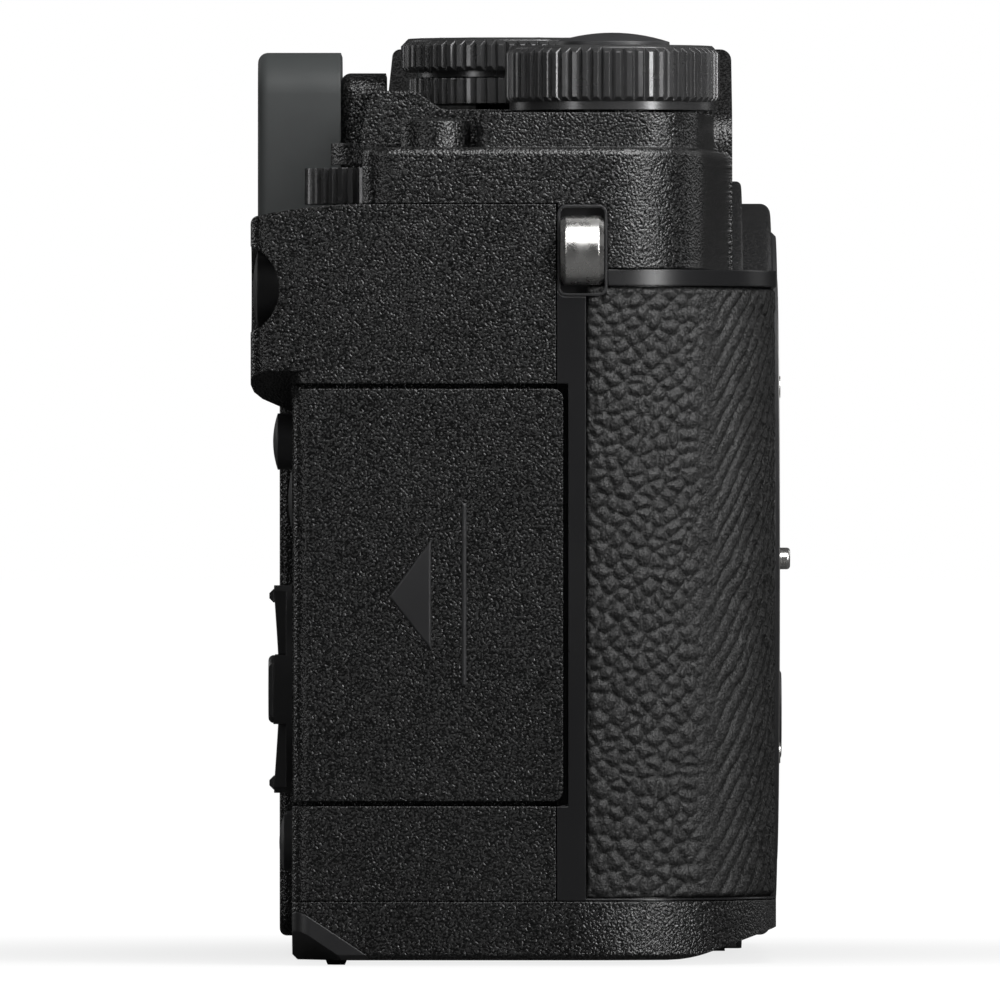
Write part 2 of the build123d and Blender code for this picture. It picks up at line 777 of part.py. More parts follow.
# Rear cover: the back half of the shell, with the thumb rest and the monitor's recess
with BuildPart() as rear_cover:
    with BuildSketch(Plane.XY.offset(base_seam + seam)):
        add(body_plan(0))
        with Locations((0, cover_split_y + seam - body_width)):
            Rectangle(2 * body_width, 2 * body_width, mode=Mode.SUBTRACT)
    extrude(amount=rear_cover_top - base_seam - seam)
    with BuildPart(mode=Mode.PRIVATE) as thumb_rest:
        with BuildSketch(Plane.YZ.offset(-side_x)):
            with BuildLine():
                Polyline(
                    (thumb_back_y - thumb_edge_round, thumb_top_z),
                    (thumb_back_y - thumb_edge_round, rear_cover_top),
                    (rear_y - 3, rear_cover_top),
                    (rear_y - 3, thumb_bottom),
                    (rear_y, thumb_bottom),
                    (thumb_back_y - 1.1, thumb_bottom + 1.25),
                    (thumb_back_y - 0.3, thumb_bottom + 1.9),
                    (thumb_back_y, thumb_bottom + 2.6),
                    (thumb_back_y, thumb_top_z - thumb_edge_round),
                )
                ThreePointArc(
                    (thumb_back_y, thumb_top_z - thumb_edge_round),
                    (thumb_back_y - thumb_edge_round * 0.293, thumb_top_z - thumb_edge_round * 0.293),
                    (thumb_back_y - thumb_edge_round, thumb_top_z),
                )
            make_face()
        extrude(amount=thumb_left_x + side_x)
        # Round upright corners
        with BuildSketch(Plane.XY.offset(thumb_bottom)):
            with BuildLine():
                Polyline(
                    (-side_x, rear_y - 3),
                    (-side_x, thumb_back_y),
                    (thumb_left_x, thumb_back_y),
                    (thumb_left_x, rear_y - 3),
                    close=True,
                )
            make_face()
            fillet(vertices().group_by(Axis.Y)[-1], thumb_round)
        extrude(amount=rear_cover_top - thumb_bottom, mode=Mode.INTERSECT)
        # The underside falls away from the right side
        with BuildSketch(Plane.XZ.offset(-rear_y + 3)):
            with BuildLine():
                Polyline(
                    (-side_x, thumb_bottom),
                    (-side_x, thumb_side_bottom),
                    (-side_x + thumb_side_run, thumb_bottom),
                    close=True,
                )
            make_face()
        extrude(amount=rear_y - 3 - thumb_back_y, mode=Mode.SUBTRACT)
    add(thumb_rest.part)
    # The top falls to the rear in a slow curve
    with BuildSketch(Plane.YZ.offset(-side_x)):
        with BuildLine():
            ThreePointArc((rear_top_start_y, rear_cover_top), rear_top_middle, (thumb_back_y, rear_top_end_z))
            Polyline(
                (thumb_back_y, rear_top_end_z),
                (thumb_back_y, rear_cover_top + 1),
                (rear_top_start_y, rear_cover_top + 1),
                (rear_top_start_y, rear_cover_top),
            )
        make_face()
    extrude(amount=body_width, mode=Mode.SUBTRACT)
    # Scoop in the thumb rest's right edge, with a round end around the button
    with Locations((scoop_end_x - 5, scoop_floor_y + scoop_radius, scoop_z)):
        Cylinder(scoop_radius, 10, rotation=(0, 90, 0), mode=Mode.SUBTRACT)
    with Locations((scoop_end_x, scoop_floor_y + scoop_radius, scoop_z)):
        Sphere(scoop_radius, mode=Mode.SUBTRACT)
    # Recess for the monitor, open at the left side and below
    span_box(monitor_right_x - monitor_gap, side_x, monitor_floor_y, rear_y,
             base_seam, monitor_top + monitor_gap, mode=Mode.SUBTRACT)
    span_box(hinge_plate_x[0] - fit_gap, side_x, hinge_plate_y[0] - fit_gap, monitor_floor_y,
             base_seam, hinge_plate_z[1] + fit_gap, mode=Mode.SUBTRACT)
    # Notch under the viewfinder housing and the eyecup
    span_box(lens_x - eyecup_half_width - 0.3, lens_x + eyecup_half_width + 0.3, finder_back_y - 0.1,
             rear_y, finder_bottom - fit_gap, rear_cover_top, mode=Mode.SUBTRACT)
    span_box(finder_x[0] - fit_gap, finder_x[1] + fit_gap, hump_rear_y, finder_back_y,
             finder_bottom - fit_gap, rear_cover_top, mode=Mode.SUBTRACT)
    # Card side
    card_bay()
    span_box(card_bay_x, card_unit_x[1] + fit_gap, card_unit_y[0] - fit_gap, card_unit_y[1] + fit_gap,
             card_unit_z[0] - fit_gap, card_unit_z[1] + fit_gap, mode=Mode.SUBTRACT)
    # Pockets under the rear buttons
    for x, z, radius, seat in rear_pockets:
        depth_disc(x, z, seat - button_travel - seat_gap, thumb_back_y, radius + button_gap,
                   mode=Mode.SUBTRACT)
    upright_disc(wheel_x, wheel_y, rear_cover_top - wheel_shaft_depth - 0.1, rear_cover_top,
                 wheel_shaft_radius + shaft_gap, mode=Mode.SUBTRACT)
    # Left side: recess for the two covers, with the sockets behind them
    span_box(terminal_floor_x, side_x, terminal_front_y - 0.15, terminal_rear_y + 0.2,
             terminal_bottom - 0.15, terminal_top + 0.15, mode=Mode.SUBTRACT)
    with BuildSketch(Plane.YZ.offset(terminal_floor_x)):
        with Locations((terminal_middle_y, terminal_split_z + 5.5),
                       (terminal_middle_y, terminal_split_z + 12.5)):
            Circle(socket_radius)
        with Locations((terminal_middle_y, terminal_bottom + 8),
                       (terminal_middle_y, terminal_bottom + 20)):
            RectangleRounded(*data_socket)
    extrude(amount=-socket_depth, mode=Mode.SUBTRACT)
rear_cover.part.label = "rear_cover"
export_step(rear_cover.part, "parts/rear_cover.step")

# Base plate with its four pads, the battery opening and the tripod bush's seat
with BuildPart() as base_plate:
    with BuildSketch(Plane.XY.offset(base_bottom)):
        add(body_plan(0))
    extrude(amount=base_seam - base_bottom)
    chamfer(base_plate.faces().sort_by(Axis.Z)[0].edges(), 0.5)
    base_bevel()
    for x, y in foot_places:
        with BuildSketch(Plane.XY):
            with Locations((x, y)):
                Rectangle(pad_foot_length - 0.6, pad_foot_width - 0.6)
        with BuildSketch(Plane.XY.offset(base_bottom + 0.2)):
            with Locations((x, y)):
                Rectangle(pad_foot_length, pad_foot_width)
        loft()
    depth_disc(lens_x, lens_z, front_y, boss_back_y + fit_gap, boss_radius + fit_gap, mode=Mode.SUBTRACT)
    span_box(monitor_right_x - monitor_gap, side_x, monitor_floor_y, rear_y,
             base_bottom, base_seam, mode=Mode.SUBTRACT)
    span_box(*chamber_x, *chamber_y, base_bottom, base_seam, mode=Mode.SUBTRACT)
    span_box(battery_door_x[0] - 0.2, battery_door_x[1] + 1.2, battery_door_y[0] - 0.2,
             battery_door_y[1] + 0.2, 0, battery_axis_z + 1.15, mode=Mode.SUBTRACT)
    depth_disc(battery_door_x[1], battery_axis_z, battery_door_y[0] - 1.2, battery_door_y[1] + 1.2,
               battery_pin_radius + shaft_gap, mode=Mode.SUBTRACT)
    upright_disc(lens_x, tripod_y, base_bottom, base_seam, bush_radius + fit_gap, mode=Mode.SUBTRACT)
    # Facet at the right rear corner, filled by the coupler plug
    split(bisect_by=coupler_plane.offset(-coupler_thickness), keep=Keep.BOTTOM)
base_plate.part.label = "base_plate"
export_step(base_plate.part, "parts/base_plate.step")

with BuildPart() as coupler_plug:
    with BuildSketch(Plane.XY.offset(base_bottom)):
        add(body_plan(0))
    extrude(amount=base_seam - base_bottom)
    chamfer(coupler_plug.faces().sort_by(Axis.Z)[0].edges(), 0.5)
    split(bisect_by=coupler_plane, keep=Keep.BOTTOM)
    split(bisect_by=coupler_plane.offset(-coupler_thickness), keep=Keep.TOP)
coupler_plug.part.label = "coupler_plug"
export_step(coupler_plug.part, "parts/coupler_plug.step")

# Viewfinder: housing, eyepiece lens, rubber eyecup and the dioptre wheel beside it
with BuildPart() as finder_housing:
    with BuildSketch(Plane.XZ.offset(-finder_back_y)):
        with Locations((lens_x, (finder_bottom + finder_top) / 2)):
            Rectangle(2 * finder_half_width, finder_top - finder_bottom)
        fillet(vertices().group_by(Axis.Y)[-1], 2.0)
    extrude(amount=finder_back_y - hump_rear_y - fit_gap)
    fillet(finder_housing.faces().sort_by(Axis.Y)[-1].edges().sort_by(Axis.Z)[-1], 1.0)
    with BuildSketch(Plane.XZ.offset(-finder_back_y)):
        with Locations((lens_x, finder_z)):
            RectangleRounded(eyecup_hollow_width - 2, eyecup_hollow_height - 1, 2.0)
    extrude(amount=finder_window_depth, mode=Mode.SUBTRACT)
finder_housing.part.label = "finder_housing"
export_step(finder_housing.part, "parts/finder_housing.step")

with BuildPart() as eyepiece_lens:
    with BuildSketch(Plane.XZ.offset(finder_window_depth - finder_back_y)):
        with Locations((lens_x, finder_z)):
            RectangleRounded(eyecup_hollow_width - 2.2, eyecup_hollow_height - 1.2, 1.9)
    extrude(amount=-(finder_window_depth - 0.8))
    fillet(eyepiece_lens.faces().sort_by(Axis.Y)[-1].edges(), 0.6)
eyepiece_lens.part.label = "eyepiece_lens"
export_step(eyepiece_lens.part, "parts/eyepiece_lens.step")

with BuildPart() as eyecup:
    with BuildSketch(Plane.XZ.offset(-finder_back_y)):
        with Locations((lens_x, finder_z)):
            RectangleRounded(2 * eyecup_half_width, eyecup_top - eyecup_bottom, 4.0)
    extrude(amount=-(eyecup_back_y - finder_back_y))
    fillet(eyecup.faces().sort_by(Axis.Y)[-1].edges(), eyecup_round)
    with BuildSketch(Plane.XZ.offset(-finder_back_y)):
        with Locations((lens_x, finder_z)):
            RectangleRounded(eyecup_hollow_width, eyecup_hollow_height, 2.5)
    with BuildSketch(Plane.XZ.offset(-eyecup_back_y)):
        with Locations((lens_x, finder_z)):
            RectangleRounded(eyecup_hollow_width + 5, eyecup_hollow_height + 4, 3.5)
    loft(mode=Mode.SUBTRACT)
eyecup.part.label = "eyecup"
export_step(eyecup.part, "parts/eyecup.step")

with BuildPart() as dioptre_wheel:
    with BuildSketch(Plane.XZ.offset(-hump_rear_y - 0.2)):
        with Locations((dioptre_x, dioptre_z)):
            add(knurled_disc(dioptre_radius, rib_pitch, 0.3))
    extrude(amount=-dioptre_length)
    depth_disc(dioptre_x, dioptre_z, hump_rear_y - 2.8, hump_rear_y + 0.5, dioptre_shaft_radius)
dioptre_wheel.part.label = "dioptre_wheel"
export_step(dioptre_wheel.part, "parts/dioptre_wheel.step")

# Hot shoe: a floor with two side walls whose lips turn inward over the slot
with BuildPart() as hot_shoe:
    with BuildSketch(Plane.XZ.offset(-shoe_rear_y)):
        with BuildLine():
            Polyline(
                (shoe_x[0], shoe_floor - 0.7),
                (shoe_x[0], shoe_floor + shoe_slot + shoe_lip),
                (shoe_x[0] + shoe_lip_reach, shoe_floor + shoe_slot + shoe_lip),
                (shoe_x[0] + shoe_lip_reach, shoe_floor + shoe_slot),
                (shoe_x[0] + shoe_wall, shoe_floor + shoe_slot),
                (shoe_x[0] + shoe_wall, shoe_floor),
                (shoe_x[1] - shoe_wall, shoe_floor),
                (shoe_x[1] - shoe_wall, shoe_floor + shoe_slot),
                (shoe_x[1] - shoe_lip_reach, shoe_floor + shoe_slot),
                (shoe_x[1] - shoe_lip_reach, shoe_floor + shoe_slot + shoe_lip),
                (shoe_x[1], shoe_floor + shoe_slot + shoe_lip),
                (shoe_x[1], shoe_floor - 0.7),
                close=True,
            )
        make_face()
    extrude(amount=shoe_length)
    span_box(shoe_x[0] + shoe_wall, shoe_x[1] - shoe_wall, shoe_front_y, shoe_front_y + 1.2,
             shoe_floor - 0.1, shoe_floor + shoe_slot)
    for x, y in ((0, 0), (-3.2, 4.0), (3.2, 4.0), (-3.2, -4.0), (3.2, -4.0)):
        upright_disc(lens_x + x, shoe_front_y + shoe_length / 2 + y, shoe_floor - 0.1, shoe_floor + 0.15, 0.9)
hot_shoe.part.label = "hot_shoe"
export_step(hot_shoe.part, "parts/hot_shoe.step")

# Lens mount: trim ring, bayonet flange with three lugs, contacts and the throat's frame
with BuildPart() as mount_ring:
    depth_disc(lens_x, lens_z, trim_ring_front_y, ring_back_y, trim_ring_radius)
    chamfer(mount_ring.faces().sort_by(Axis.Y)[0].edges(), 0.4)
    depth_disc(lens_x, lens_z, trim_ring_front_y, ring_back_y, flange_radius + fit_gap, mode=Mode.SUBTRACT)
mount_ring.part.label = "mount_ring"
export_step(mount_ring.part, "parts/mount_ring.step")

with BuildPart() as mount_flange:
    depth_disc(lens_x, lens_z, flange_front_y, flange_back_y, flange_radius)
    chamfer(mount_flange.faces().sort_by(Axis.Y)[0].edges(), 0.3)
    depth_disc(lens_x, lens_z, flange_front_y, flange_back_y, throat_radius, mode=Mode.SUBTRACT)
    with BuildSketch(Plane.XZ.offset(-flange_front_y - lug_start - lug_depth)):
        with Locations((lens_x, lens_z)):
            with PolarLocations(0, 3, start_angle=90):
                Polygon(
                    (0, 0),
                    (2 * throat_radius * math.cos(math.radians(lug_angle / 2)),
                     2 * throat_radius * math.sin(math.radians(lug_angle / 2))),
                    (2 * throat_radius * math.cos(math.radians(lug_angle / 2)),
                     -2 * throat_radius * math.sin(math.radians(lug_angle / 2))),
                    align=None,
                )
            Circle(throat_radius + 0.5, mode=Mode.INTERSECT)
            Circle(lug_radius, mode=Mode.SUBTRACT)
    extrude(amount=lug_depth)
    depth_disc(pin_x, pin_z, flange_front_y, flange_back_y, lock_pin_radius + shaft_gap, mode=Mode.SUBTRACT)
mount_flange.part.label = "mount_flange"
export_step(mount_flange.part, "parts/mount_flange.step")

with BuildPart() as throat_frame:
    depth_disc(lens_x, lens_z, flange_back_y + fit_gap, mechanism_front_y - fit_gap, throat_bore - fit_gap)
    depth_disc(lens_x, lens_z, flange_back_y + fit_gap, mechanism_front_y - baffle_thickness,
               frame_front_bore, mode=Mode.SUBTRACT)
    with BuildSketch(Plane.XZ.offset(-mechanism_front_y)):
        with Locations((lens_x, lens_z)):
            RectangleRounded(*baffle_opening, 2.0)
    extrude(amount=3 * baffle_thickness, mode=Mode.SUBTRACT)
throat_frame.part.label = "throat_frame"
export_step(throat_frame.part, "parts/throat_frame.step")

with BuildPart() as contact_block:
    with BuildSketch(Plane(origin=(lens_x, flange_back_y, lens_z), x_dir=(1, 0, 0), z_dir=(0, -1, 0))):
        with BuildLine():
            low = CenterArc((0, 0), contact_inner_radius, -90 - contact_angle / 2, contact_angle)
            high = CenterArc((0, 0), throat_radius - 0.25, -90 - contact_angle / 2, contact_angle)
            Line(low @ 0, high @ 0)
            Line(low @ 1, high @ 1)
        make_face()
    extrude(amount=flange_depth - lug_start)
contact_block.part.label = "contact_block"
export_step(contact_block.part, "parts/contact_block.step")

with BuildPart() as lock_pin:
    depth_disc(pin_x, pin_z, lock_pin_tip_y, lock_pin_tip_y + lock_pin_length, lock_pin_radius)
    fillet(lock_pin.faces().sort_by(Axis.Y)[0].edges(), 0.35)
lock_pin.part.label = "lock_pin"
export_step(lock_pin.part, "parts/lock_pin.step")

with BuildPart() as release_button:
    depth_disc(release_x, release_z, release_top_y, release_top_y + release_length, release_radius)
    fillet(release_button.faces().sort_by(Axis.Y)[0].edges(), 0.6)
release_button.part.label = "release_button"
export_step(release_button.part, "parts/release_button.step")

with BuildPart() as focus_lamp:
    depth_disc(lamp_x, lamp_z, front_y, lamp_back_y, lamp_radius)
focus_lamp.part.label = "focus_lamp"
export_step(focus_lamp.part, "parts/focus_lamp.step")

# Behind the throat: shutter frame, sensor carrier, its cover glass and the main board
with BuildPart() as shutter_unit:
    span_box(lens_x - shutter_half_width, lens_x + shutter_half_width,
             mechanism_front_y + fit_gap, mechanism_front_y + shutter_thickness,
             lens_z - shutter_half_height, lens_z + shutter_half_height)
    with BuildSketch(Plane.XZ.offset(-mechanism_front_y)):
        with Locations((lens_x, lens_z)):
            RectangleRounded(*shutter_opening, 1.0)
    extrude(amount=-2 * shutter_thickness, mode=Mode.SUBTRACT)
shutter_unit.part.label = "shutter_unit"
export_step(shutter_unit.part, "parts/shutter_unit.step")

with BuildPart() as sensor_carrier:
    span_box(lens_x - shutter_half_width + 1, lens_x + shutter_half_width - 1,
             carrier_front_y, carrier_back_y,
             lens_z - shutter_half_height + 1, lens_z + shutter_half_height - 1)
    span_box(lens_x - sensor_glass[0] / 2 - fit_gap, lens_x + sensor_glass[0] / 2 + fit_gap,
             carrier_front_y, sensor_glass_back_y,
             lens_z - sensor_glass[1] / 2 - fit_gap, lens_z + sensor_glass[1] / 2 + fit_gap,
             mode=Mode.SUBTRACT)
sensor_carrier.part.label = "sensor_carrier"
export_step(sensor_carrier.part, "parts/sensor_carrier.step")

with BuildPart() as sensor_window:
    span_box(lens_x - sensor_glass[0] / 2, lens_x + sensor_glass[0] / 2,
             sensor_glass_back_y - sensor_glass[2], sensor_glass_back_y,
             lens_z - sensor_glass[1] / 2, lens_z + sensor_glass[1] / 2)
    chamfer(sensor_window.faces().sort_by(Axis.Y)[0].edges(), 0.3)
sensor_window.part.label = "sensor_window"
export_step(sensor_window.part, "parts/sensor_window.step")

with BuildPart() as main_board:
    span_box(mechanism_span[0] + 1, mechanism_span[1] - 1, carrier_back_y + 0.3,
             carrier_back_y + 0.3 + board_thickness, mechanism_heights[0] + 1, mechanism_heights[1] - 1)
main_board.part.label = "main_board"
export_step(main_board.part, "parts/main_board.step")

# Strap lugs: a dark recess frame with a polished arch over it, the same on both sides
for name, side in (("right", -1), ("left", 1)):
    with BuildPart() as strap_recess:
        extrude(strap_outline(side * (strap_floor_x + 0.02), 0.05), amount=side * (strap_depth - 0.07))
        extrude(strap_outline(side * strap_plate_x, strap_rim), amount=side * strap_depth, mode=Mode.SUBTRACT)
    strap_recess.part.label = f"strap_recess_{name}"
    export_step(strap_recess.part, f"parts/strap_recess_{name}.step")

    with BuildPart() as strap_lug:
        with BuildSketch(Plane.XZ.offset(-lug_mid_y)):
            for grow, mode in ((lug_bar_thickness, Mode.ADD), (0, Mode.SUBTRACT)):
                root_x = side * (strap_plate_x if grow else strap_plate_x + lug_foot)
                half = lug_bar_height / 2 - lug_bar_thickness + grow
                peak = side * (side_x + lug_bulge - lug_bar_thickness + grow)
                with BuildLine():
                    Polyline((side * side_x, lug_mid_z - half), (root_x, lug_mid_z - half),
                             (root_x, lug_mid_z + half), (side * side_x, lug_mid_z + half))
                    ThreePointArc((side * side_x, lug_mid_z + half), (peak, lug_mid_z),
                                  (side * side_x, lug_mid_z - half))
                make_face(mode=mode)
        extrude(amount=lug_bar_width / 2, both=True)
        chamfer(strap_lug.edges().filter_by(GeomType.CIRCLE).group_by(SortBy.LENGTH)[-1], lug_bevel)
    strap_lug.part.label = f"strap_lug_{name}"
    export_step(strap_lug.part, f"parts/strap_lug_{name}.step")

# Front dial with the shutter button at its centre
with BuildPart() as front_dial:
    upright_disc(front_dial_x, front_dial_y, front_dial_bottom, front_dial_bottom + front_dial_foot,
                 front_dial_radius - rib_depth)
    add(ribbed_disc(front_dial_x, front_dial_y, front_dial_bottom + front_dial_foot,
                    front_dial_top - dial_rim, front_dial_radius, rib_pitch, rib_slope))
    upright_disc(front_dial_x, front_dial_y, front_dial_top - dial_rim, front_dial_top,
                 front_dial_radius - rib_depth)
    chamfer(front_dial.faces().sort_by(Axis.Z)[-1].edges(), 0.25)
    upright_disc(front_dial_x, front_dial_y, front_dial_bottom, front_dial_top,
                 dial_post_radius + shaft_gap, mode=Mode.SUBTRACT)
front_dial.part.label = "front_dial"
export_step(front_dial.part, "parts/front_dial.step")

shutter_button = domed_button(top_plane(front_dial_x, front_dial_y), shutter_seat,
                              shutter_top - 0.9, shutter_top, shutter_radius)
shutter_button.label = "shutter_button"
export_step(shutter_button, "parts/shutter_button.step")

# Mode dial, with a lever ring under it on the same post
with BuildPart() as mode_dial:
    upright_disc(mode_dial_x, mode_dial_y, mode_lever_top + 0.1, mode_dial_bottom, mode_dial_radius - 1.6)
    add(ribbed_disc(mode_dial_x, mode_dial_y, mode_dial_bottom, mode_dial_top - dial_rim,
                    mode_dial_radius, rib_pitch, rib_slope))
    upright_disc(mode_dial_x, mode_dial_y, mode_dial_top - dial_rim, mode_dial_top,
                 mode_dial_radius - rib_depth)
    chamfer(mode_dial.faces().sort_by(Axis.Z)[-1].edges(), 0.25)
    upright_disc(mode_dial_x, mode_dial_y, mode_lever_top, mode_dial_top - 1.4,
                 mode_post_radius + shaft_gap, mode=Mode.SUBTRACT)
mode_dial.part.label = "mode_dial"
export_step(mode_dial.part, "parts/mode_dial.step")

with BuildPart() as mode_lever:
    add(ribbed_disc(mode_dial_x, mode_dial_y, mode_lever_bottom, mode_lever_top,
                    mode_lever_radius, rib_pitch))
    with BuildSketch(Plane.XY.offset(mode_lever_bottom)):
        with Locations(Location((mode_dial_x, mode_dial_y), lever_angle)):
            with Locations((lever_reach - lever_tab[0] / 2, 0)):
                SlotOverall(*lever_tab)
    extrude(amount=mode_lever_top - mode_lever_bottom)
    upright_disc(mode_dial_x, mode_dial_y, mode_lever_bottom, mode_lever_top,
                 mode_post_radius + shaft_gap, mode=Mode.SUBTRACT)
mode_lever.part.label = "mode_lever"
export_step(mode_lever.part, "parts/mode_lever.step")

with BuildPart() as thumb_wheel:
    add(ribbed_disc(wheel_x, wheel_y, wheel_bottom, wheel_top, wheel_radius, wheel_pitch))
    upright_disc(wheel_x, wheel_y, rear_cover_top - wheel_shaft_depth, wheel_bottom + 0.5, wheel_shaft_radius)
thumb_wheel.part.label = "thumb_wheel"
export_step(thumb_wheel.part, "parts/thumb_wheel.step")

with BuildPart() as power_lever:
    add(ribbed_disc(power_x, power_y, power_lever_bottom, power_lever_top, power_lever_radius, rib_pitch))
    with BuildSketch(Plane.XY.offset(power_lever_bottom)):
        with Locations((power_x, power_y - power_lever_radius)):
            SlotOverall(*power_tab, rotation=90)
    extrude(amount=power_lever_top - power_lever_bottom)
    upright_disc(power_x, power_y, power_lever_bottom, power_lever_top,
                 power_post_radius + shaft_gap, mode=Mode.SUBTRACT)
power_lever.part.label = "power_lever"
export_step(power_lever.part, "parts/power_lever.step")

# Push buttons on the top, each in its own pocket
for name, x, y, seat, top, radius in (
    ("small_button", small_button_x, small_button_y, small_button_seat, small_button_top,
     small_button_radius),
    ("record_button", record_x, record_y, record_seat, record_top, record_radius),
    ("drive_button", power_x, power_y, drive_seat, drive_top, drive_radius),
):
    button = domed_button(top_plane(x, y), seat, top - 0.3, top, radius)
    button.label = name
    export_step(button, f"parts/{name}.step")

# Push buttons on the rear
for name, x, z, seat, top, radius in (
    ("ael_button", ael_x, scoop_z, ael_seat_y, ael_top, ael_radius),
    ("info_button", info_x, info_z, small_rear_seat_y, info_top, small_rear_radius),
    ("screen_button", aux_x, aux_z, small_rear_seat_y, aux_top, aux_radius),
    ("play_button", play_x, play_z, small_rear_seat_y, play_top, small_rear_radius),
    ("delete_button", delete_x, play_z, small_rear_seat_y, play_top, small_rear_radius),
    ("menu_button", menu_x, menu_z, small_rear_seat_y, play_top, small_rear_radius),
):
    button = domed_button(rear_plane(x, z), seat, top - 0.45, top, radius)
    button.label = name
    export_step(button, f"parts/{name}.step")

# Four-way pad: a disc with four raised arms, each with a bead at its end
with BuildPart() as control_pad:
    with BuildSketch(rear_plane(pad_x, pad_z)):
        with BuildLine():
            Polyline(
                (pad_hole_radius, pad_seat_y),
                (pad_radius, pad_seat_y),
                (pad_radius, pad_end_y),
                (pad_hole_radius, pad_hole_y),
                close=True,
            )
        make_face()
    revolve(axis=Axis((pad_x, 0, pad_z), (0, 1, 0)))
    for side in (-1, 1):
        for rise in (-1, 1):
            span_box(*sorted((pad_x + side * pad_arm_width / 2, pad_x + side * pad_radius)),
                     pad_disc_y, pad_back_y,
                     *sorted((pad_z + rise * pad_arm_width / 2, pad_z + rise * pad_radius)),
                     mode=Mode.SUBTRACT)
    for turn in (0, 90, 180, 270):
        with Locations(Location((pad_x, (pad_hole_y + pad_back_y) / 2, pad_z), (0, turn, 0))):
            with Locations((pad_bead_middle, 0, 0)):
                Box(pad_bead, pad_back_y - pad_hole_y, pad_bead_width)
    chamfer(control_pad.faces().filter_by(Axis.Y).group_by(Axis.Y)[-1].edges(), pad_bead_edge)
control_pad.part.label = "control_pad"
export_step(control_pad.part, "parts/control_pad.step")

with BuildPart() as ok_button:
    depth_disc(pad_x, pad_z, pad_seat_y, ok_top, ok_radius)
    fillet(ok_button.faces().sort_by(Axis.Y)[-1].edges(), 0.5)
ok_button.part.label = "ok_button"
export_step(ok_button.part, "parts/ok_button.step")

# Folding monitor: panel, glass, hinge block and the bracket that holds its pins
with BuildPart() as monitor_panel:
    span_box(monitor_right_x, monitor_left_x, monitor_back_y, monitor_face_y, monitor_bottom, monitor_top)
    fillet(monitor_panel.edges().filter_by(Axis.Y), 2.2)
    fillet(monitor_panel.faces().sort_by(Axis.Y)[-1].edges(), 0.7)
    with BuildSketch(Plane.XZ.offset(-monitor_face_y)):
        with Locations((glass_middle_x, glass_middle_z)):
            RectangleRounded(glass_size[0] + 2 * fit_gap, glass_size[1] + 2 * fit_gap, 1.6)
    extrude(amount=glass_thickness + 0.1, mode=Mode.SUBTRACT)
    with Locations((monitor_left_x - tilt_shaft_length / 2, monitor_axis_y, block_middle_z)):
        Cylinder(tilt_shaft_radius + shaft_gap, tilt_shaft_length, rotation=(0, 90, 0), mode=Mode.SUBTRACT)
monitor_panel.part.label = "monitor_panel"
export_step(monitor_panel.part, "parts/monitor_panel.step")

with BuildPart() as monitor_glass:
    with BuildSketch(Plane.XZ.offset(-monitor_face_y + glass_thickness + 0.1)):
        with Locations((glass_middle_x, glass_middle_z)):
            RectangleRounded(*glass_size, 1.5)
    extrude(amount=-glass_thickness)
monitor_glass.part.label = "monitor_glass"
export_step(monitor_glass.part, "parts/monitor_glass.step")

with BuildPart() as hinge_block:
    upright_disc(monitor_axis_x, monitor_axis_y, barrel_bottom, barrel_top, barrel_radius)
    span_box(monitor_left_x + fit_gap, monitor_axis_x, monitor_axis_y - 1.7, monitor_axis_y + 1.7,
             barrel_bottom + 5, barrel_top - 5)
    with Locations((monitor_left_x + (1 - tilt_shaft_length) / 2, monitor_axis_y, block_middle_z)):
        Cylinder(tilt_shaft_radius, tilt_shaft_length, rotation=(0, 90, 0))
    for z0, z1 in ((barrel_bottom, barrel_bottom + hinge_pin_depth + 0.2),
                   (barrel_top - hinge_pin_depth - 0.2, barrel_top)):
        upright_disc(monitor_axis_x, monitor_axis_y, z0, z1, hinge_pin_radius + shaft_gap, mode=Mode.SUBTRACT)
hinge_block.part.label = "hinge_block"
export_step(hinge_block.part, "parts/hinge_block.step")

with BuildPart() as hinge_bracket:
    span_box(*hinge_plate_x, *hinge_plate_y, *hinge_plate_z)
    for z0, z1, tip in ((barrel_bottom - 2.5, barrel_bottom - 0.2, barrel_bottom + hinge_pin_depth),
                        (barrel_top + 0.2, barrel_top + 2.5, barrel_top - hinge_pin_depth)):
        upright_disc(monitor_axis_x, monitor_axis_y, z0, z1, barrel_radius - 0.2)
        span_box(monitor_axis_x - barrel_radius + 0.2, monitor_axis_x + barrel_radius - 0.2,
                 hinge_plate_y[1], monitor_axis_y, z0, z1)
        upright_disc(monitor_axis_x, monitor_axis_y, *sorted((z0 + 0.5, tip)), hinge_pin_radius)
hinge_bracket.part.label = "hinge_bracket"
export_step(hinge_bracket.part, "parts/hinge_bracket.step")

# Card door: slides to the rear on its bracket, then swings about the pin in its rounded rear end
with BuildPart() as card_door:
    span_box(-side_x, door_thickness - side_x, door_front_y, door_axis_y, door_bottom, door_top)
    with BuildSketch(Plane.YZ.offset(-side_x)) as corner_trim:
        with Locations(((door_front_y + door_axis_y) / 2 + 5, door_middle_z)):
            RectangleRounded(door_axis_y - door_front_y + 10, door_top - door_bottom, 1.0)
    extrude(amount=door_thickness, mode=Mode.INTERSECT)
    upright_disc(door_axis_x, door_axis_y, door_bottom, door_top, door_tail_radius)
    upright_disc(door_axis_x, door_axis_y, door_bottom, door_top, door_pin_radius + shaft_gap,
                 mode=Mode.SUBTRACT)
    for z in arm_middles:
        upright_disc(door_axis_x, door_axis_y, z - arm_space / 2, z + arm_space / 2,
                     bracket_ring_radius + 0.1, mode=Mode.SUBTRACT)
        span_box(door_axis_x, card_bay_x, door_axis_y - 3.2, door_axis_y + 2,
                 z - arm_space / 2, z + arm_space / 2, mode=Mode.SUBTRACT)
card_door.part.label = "card_door"
export_step(card_door.part, "parts/card_door.step")

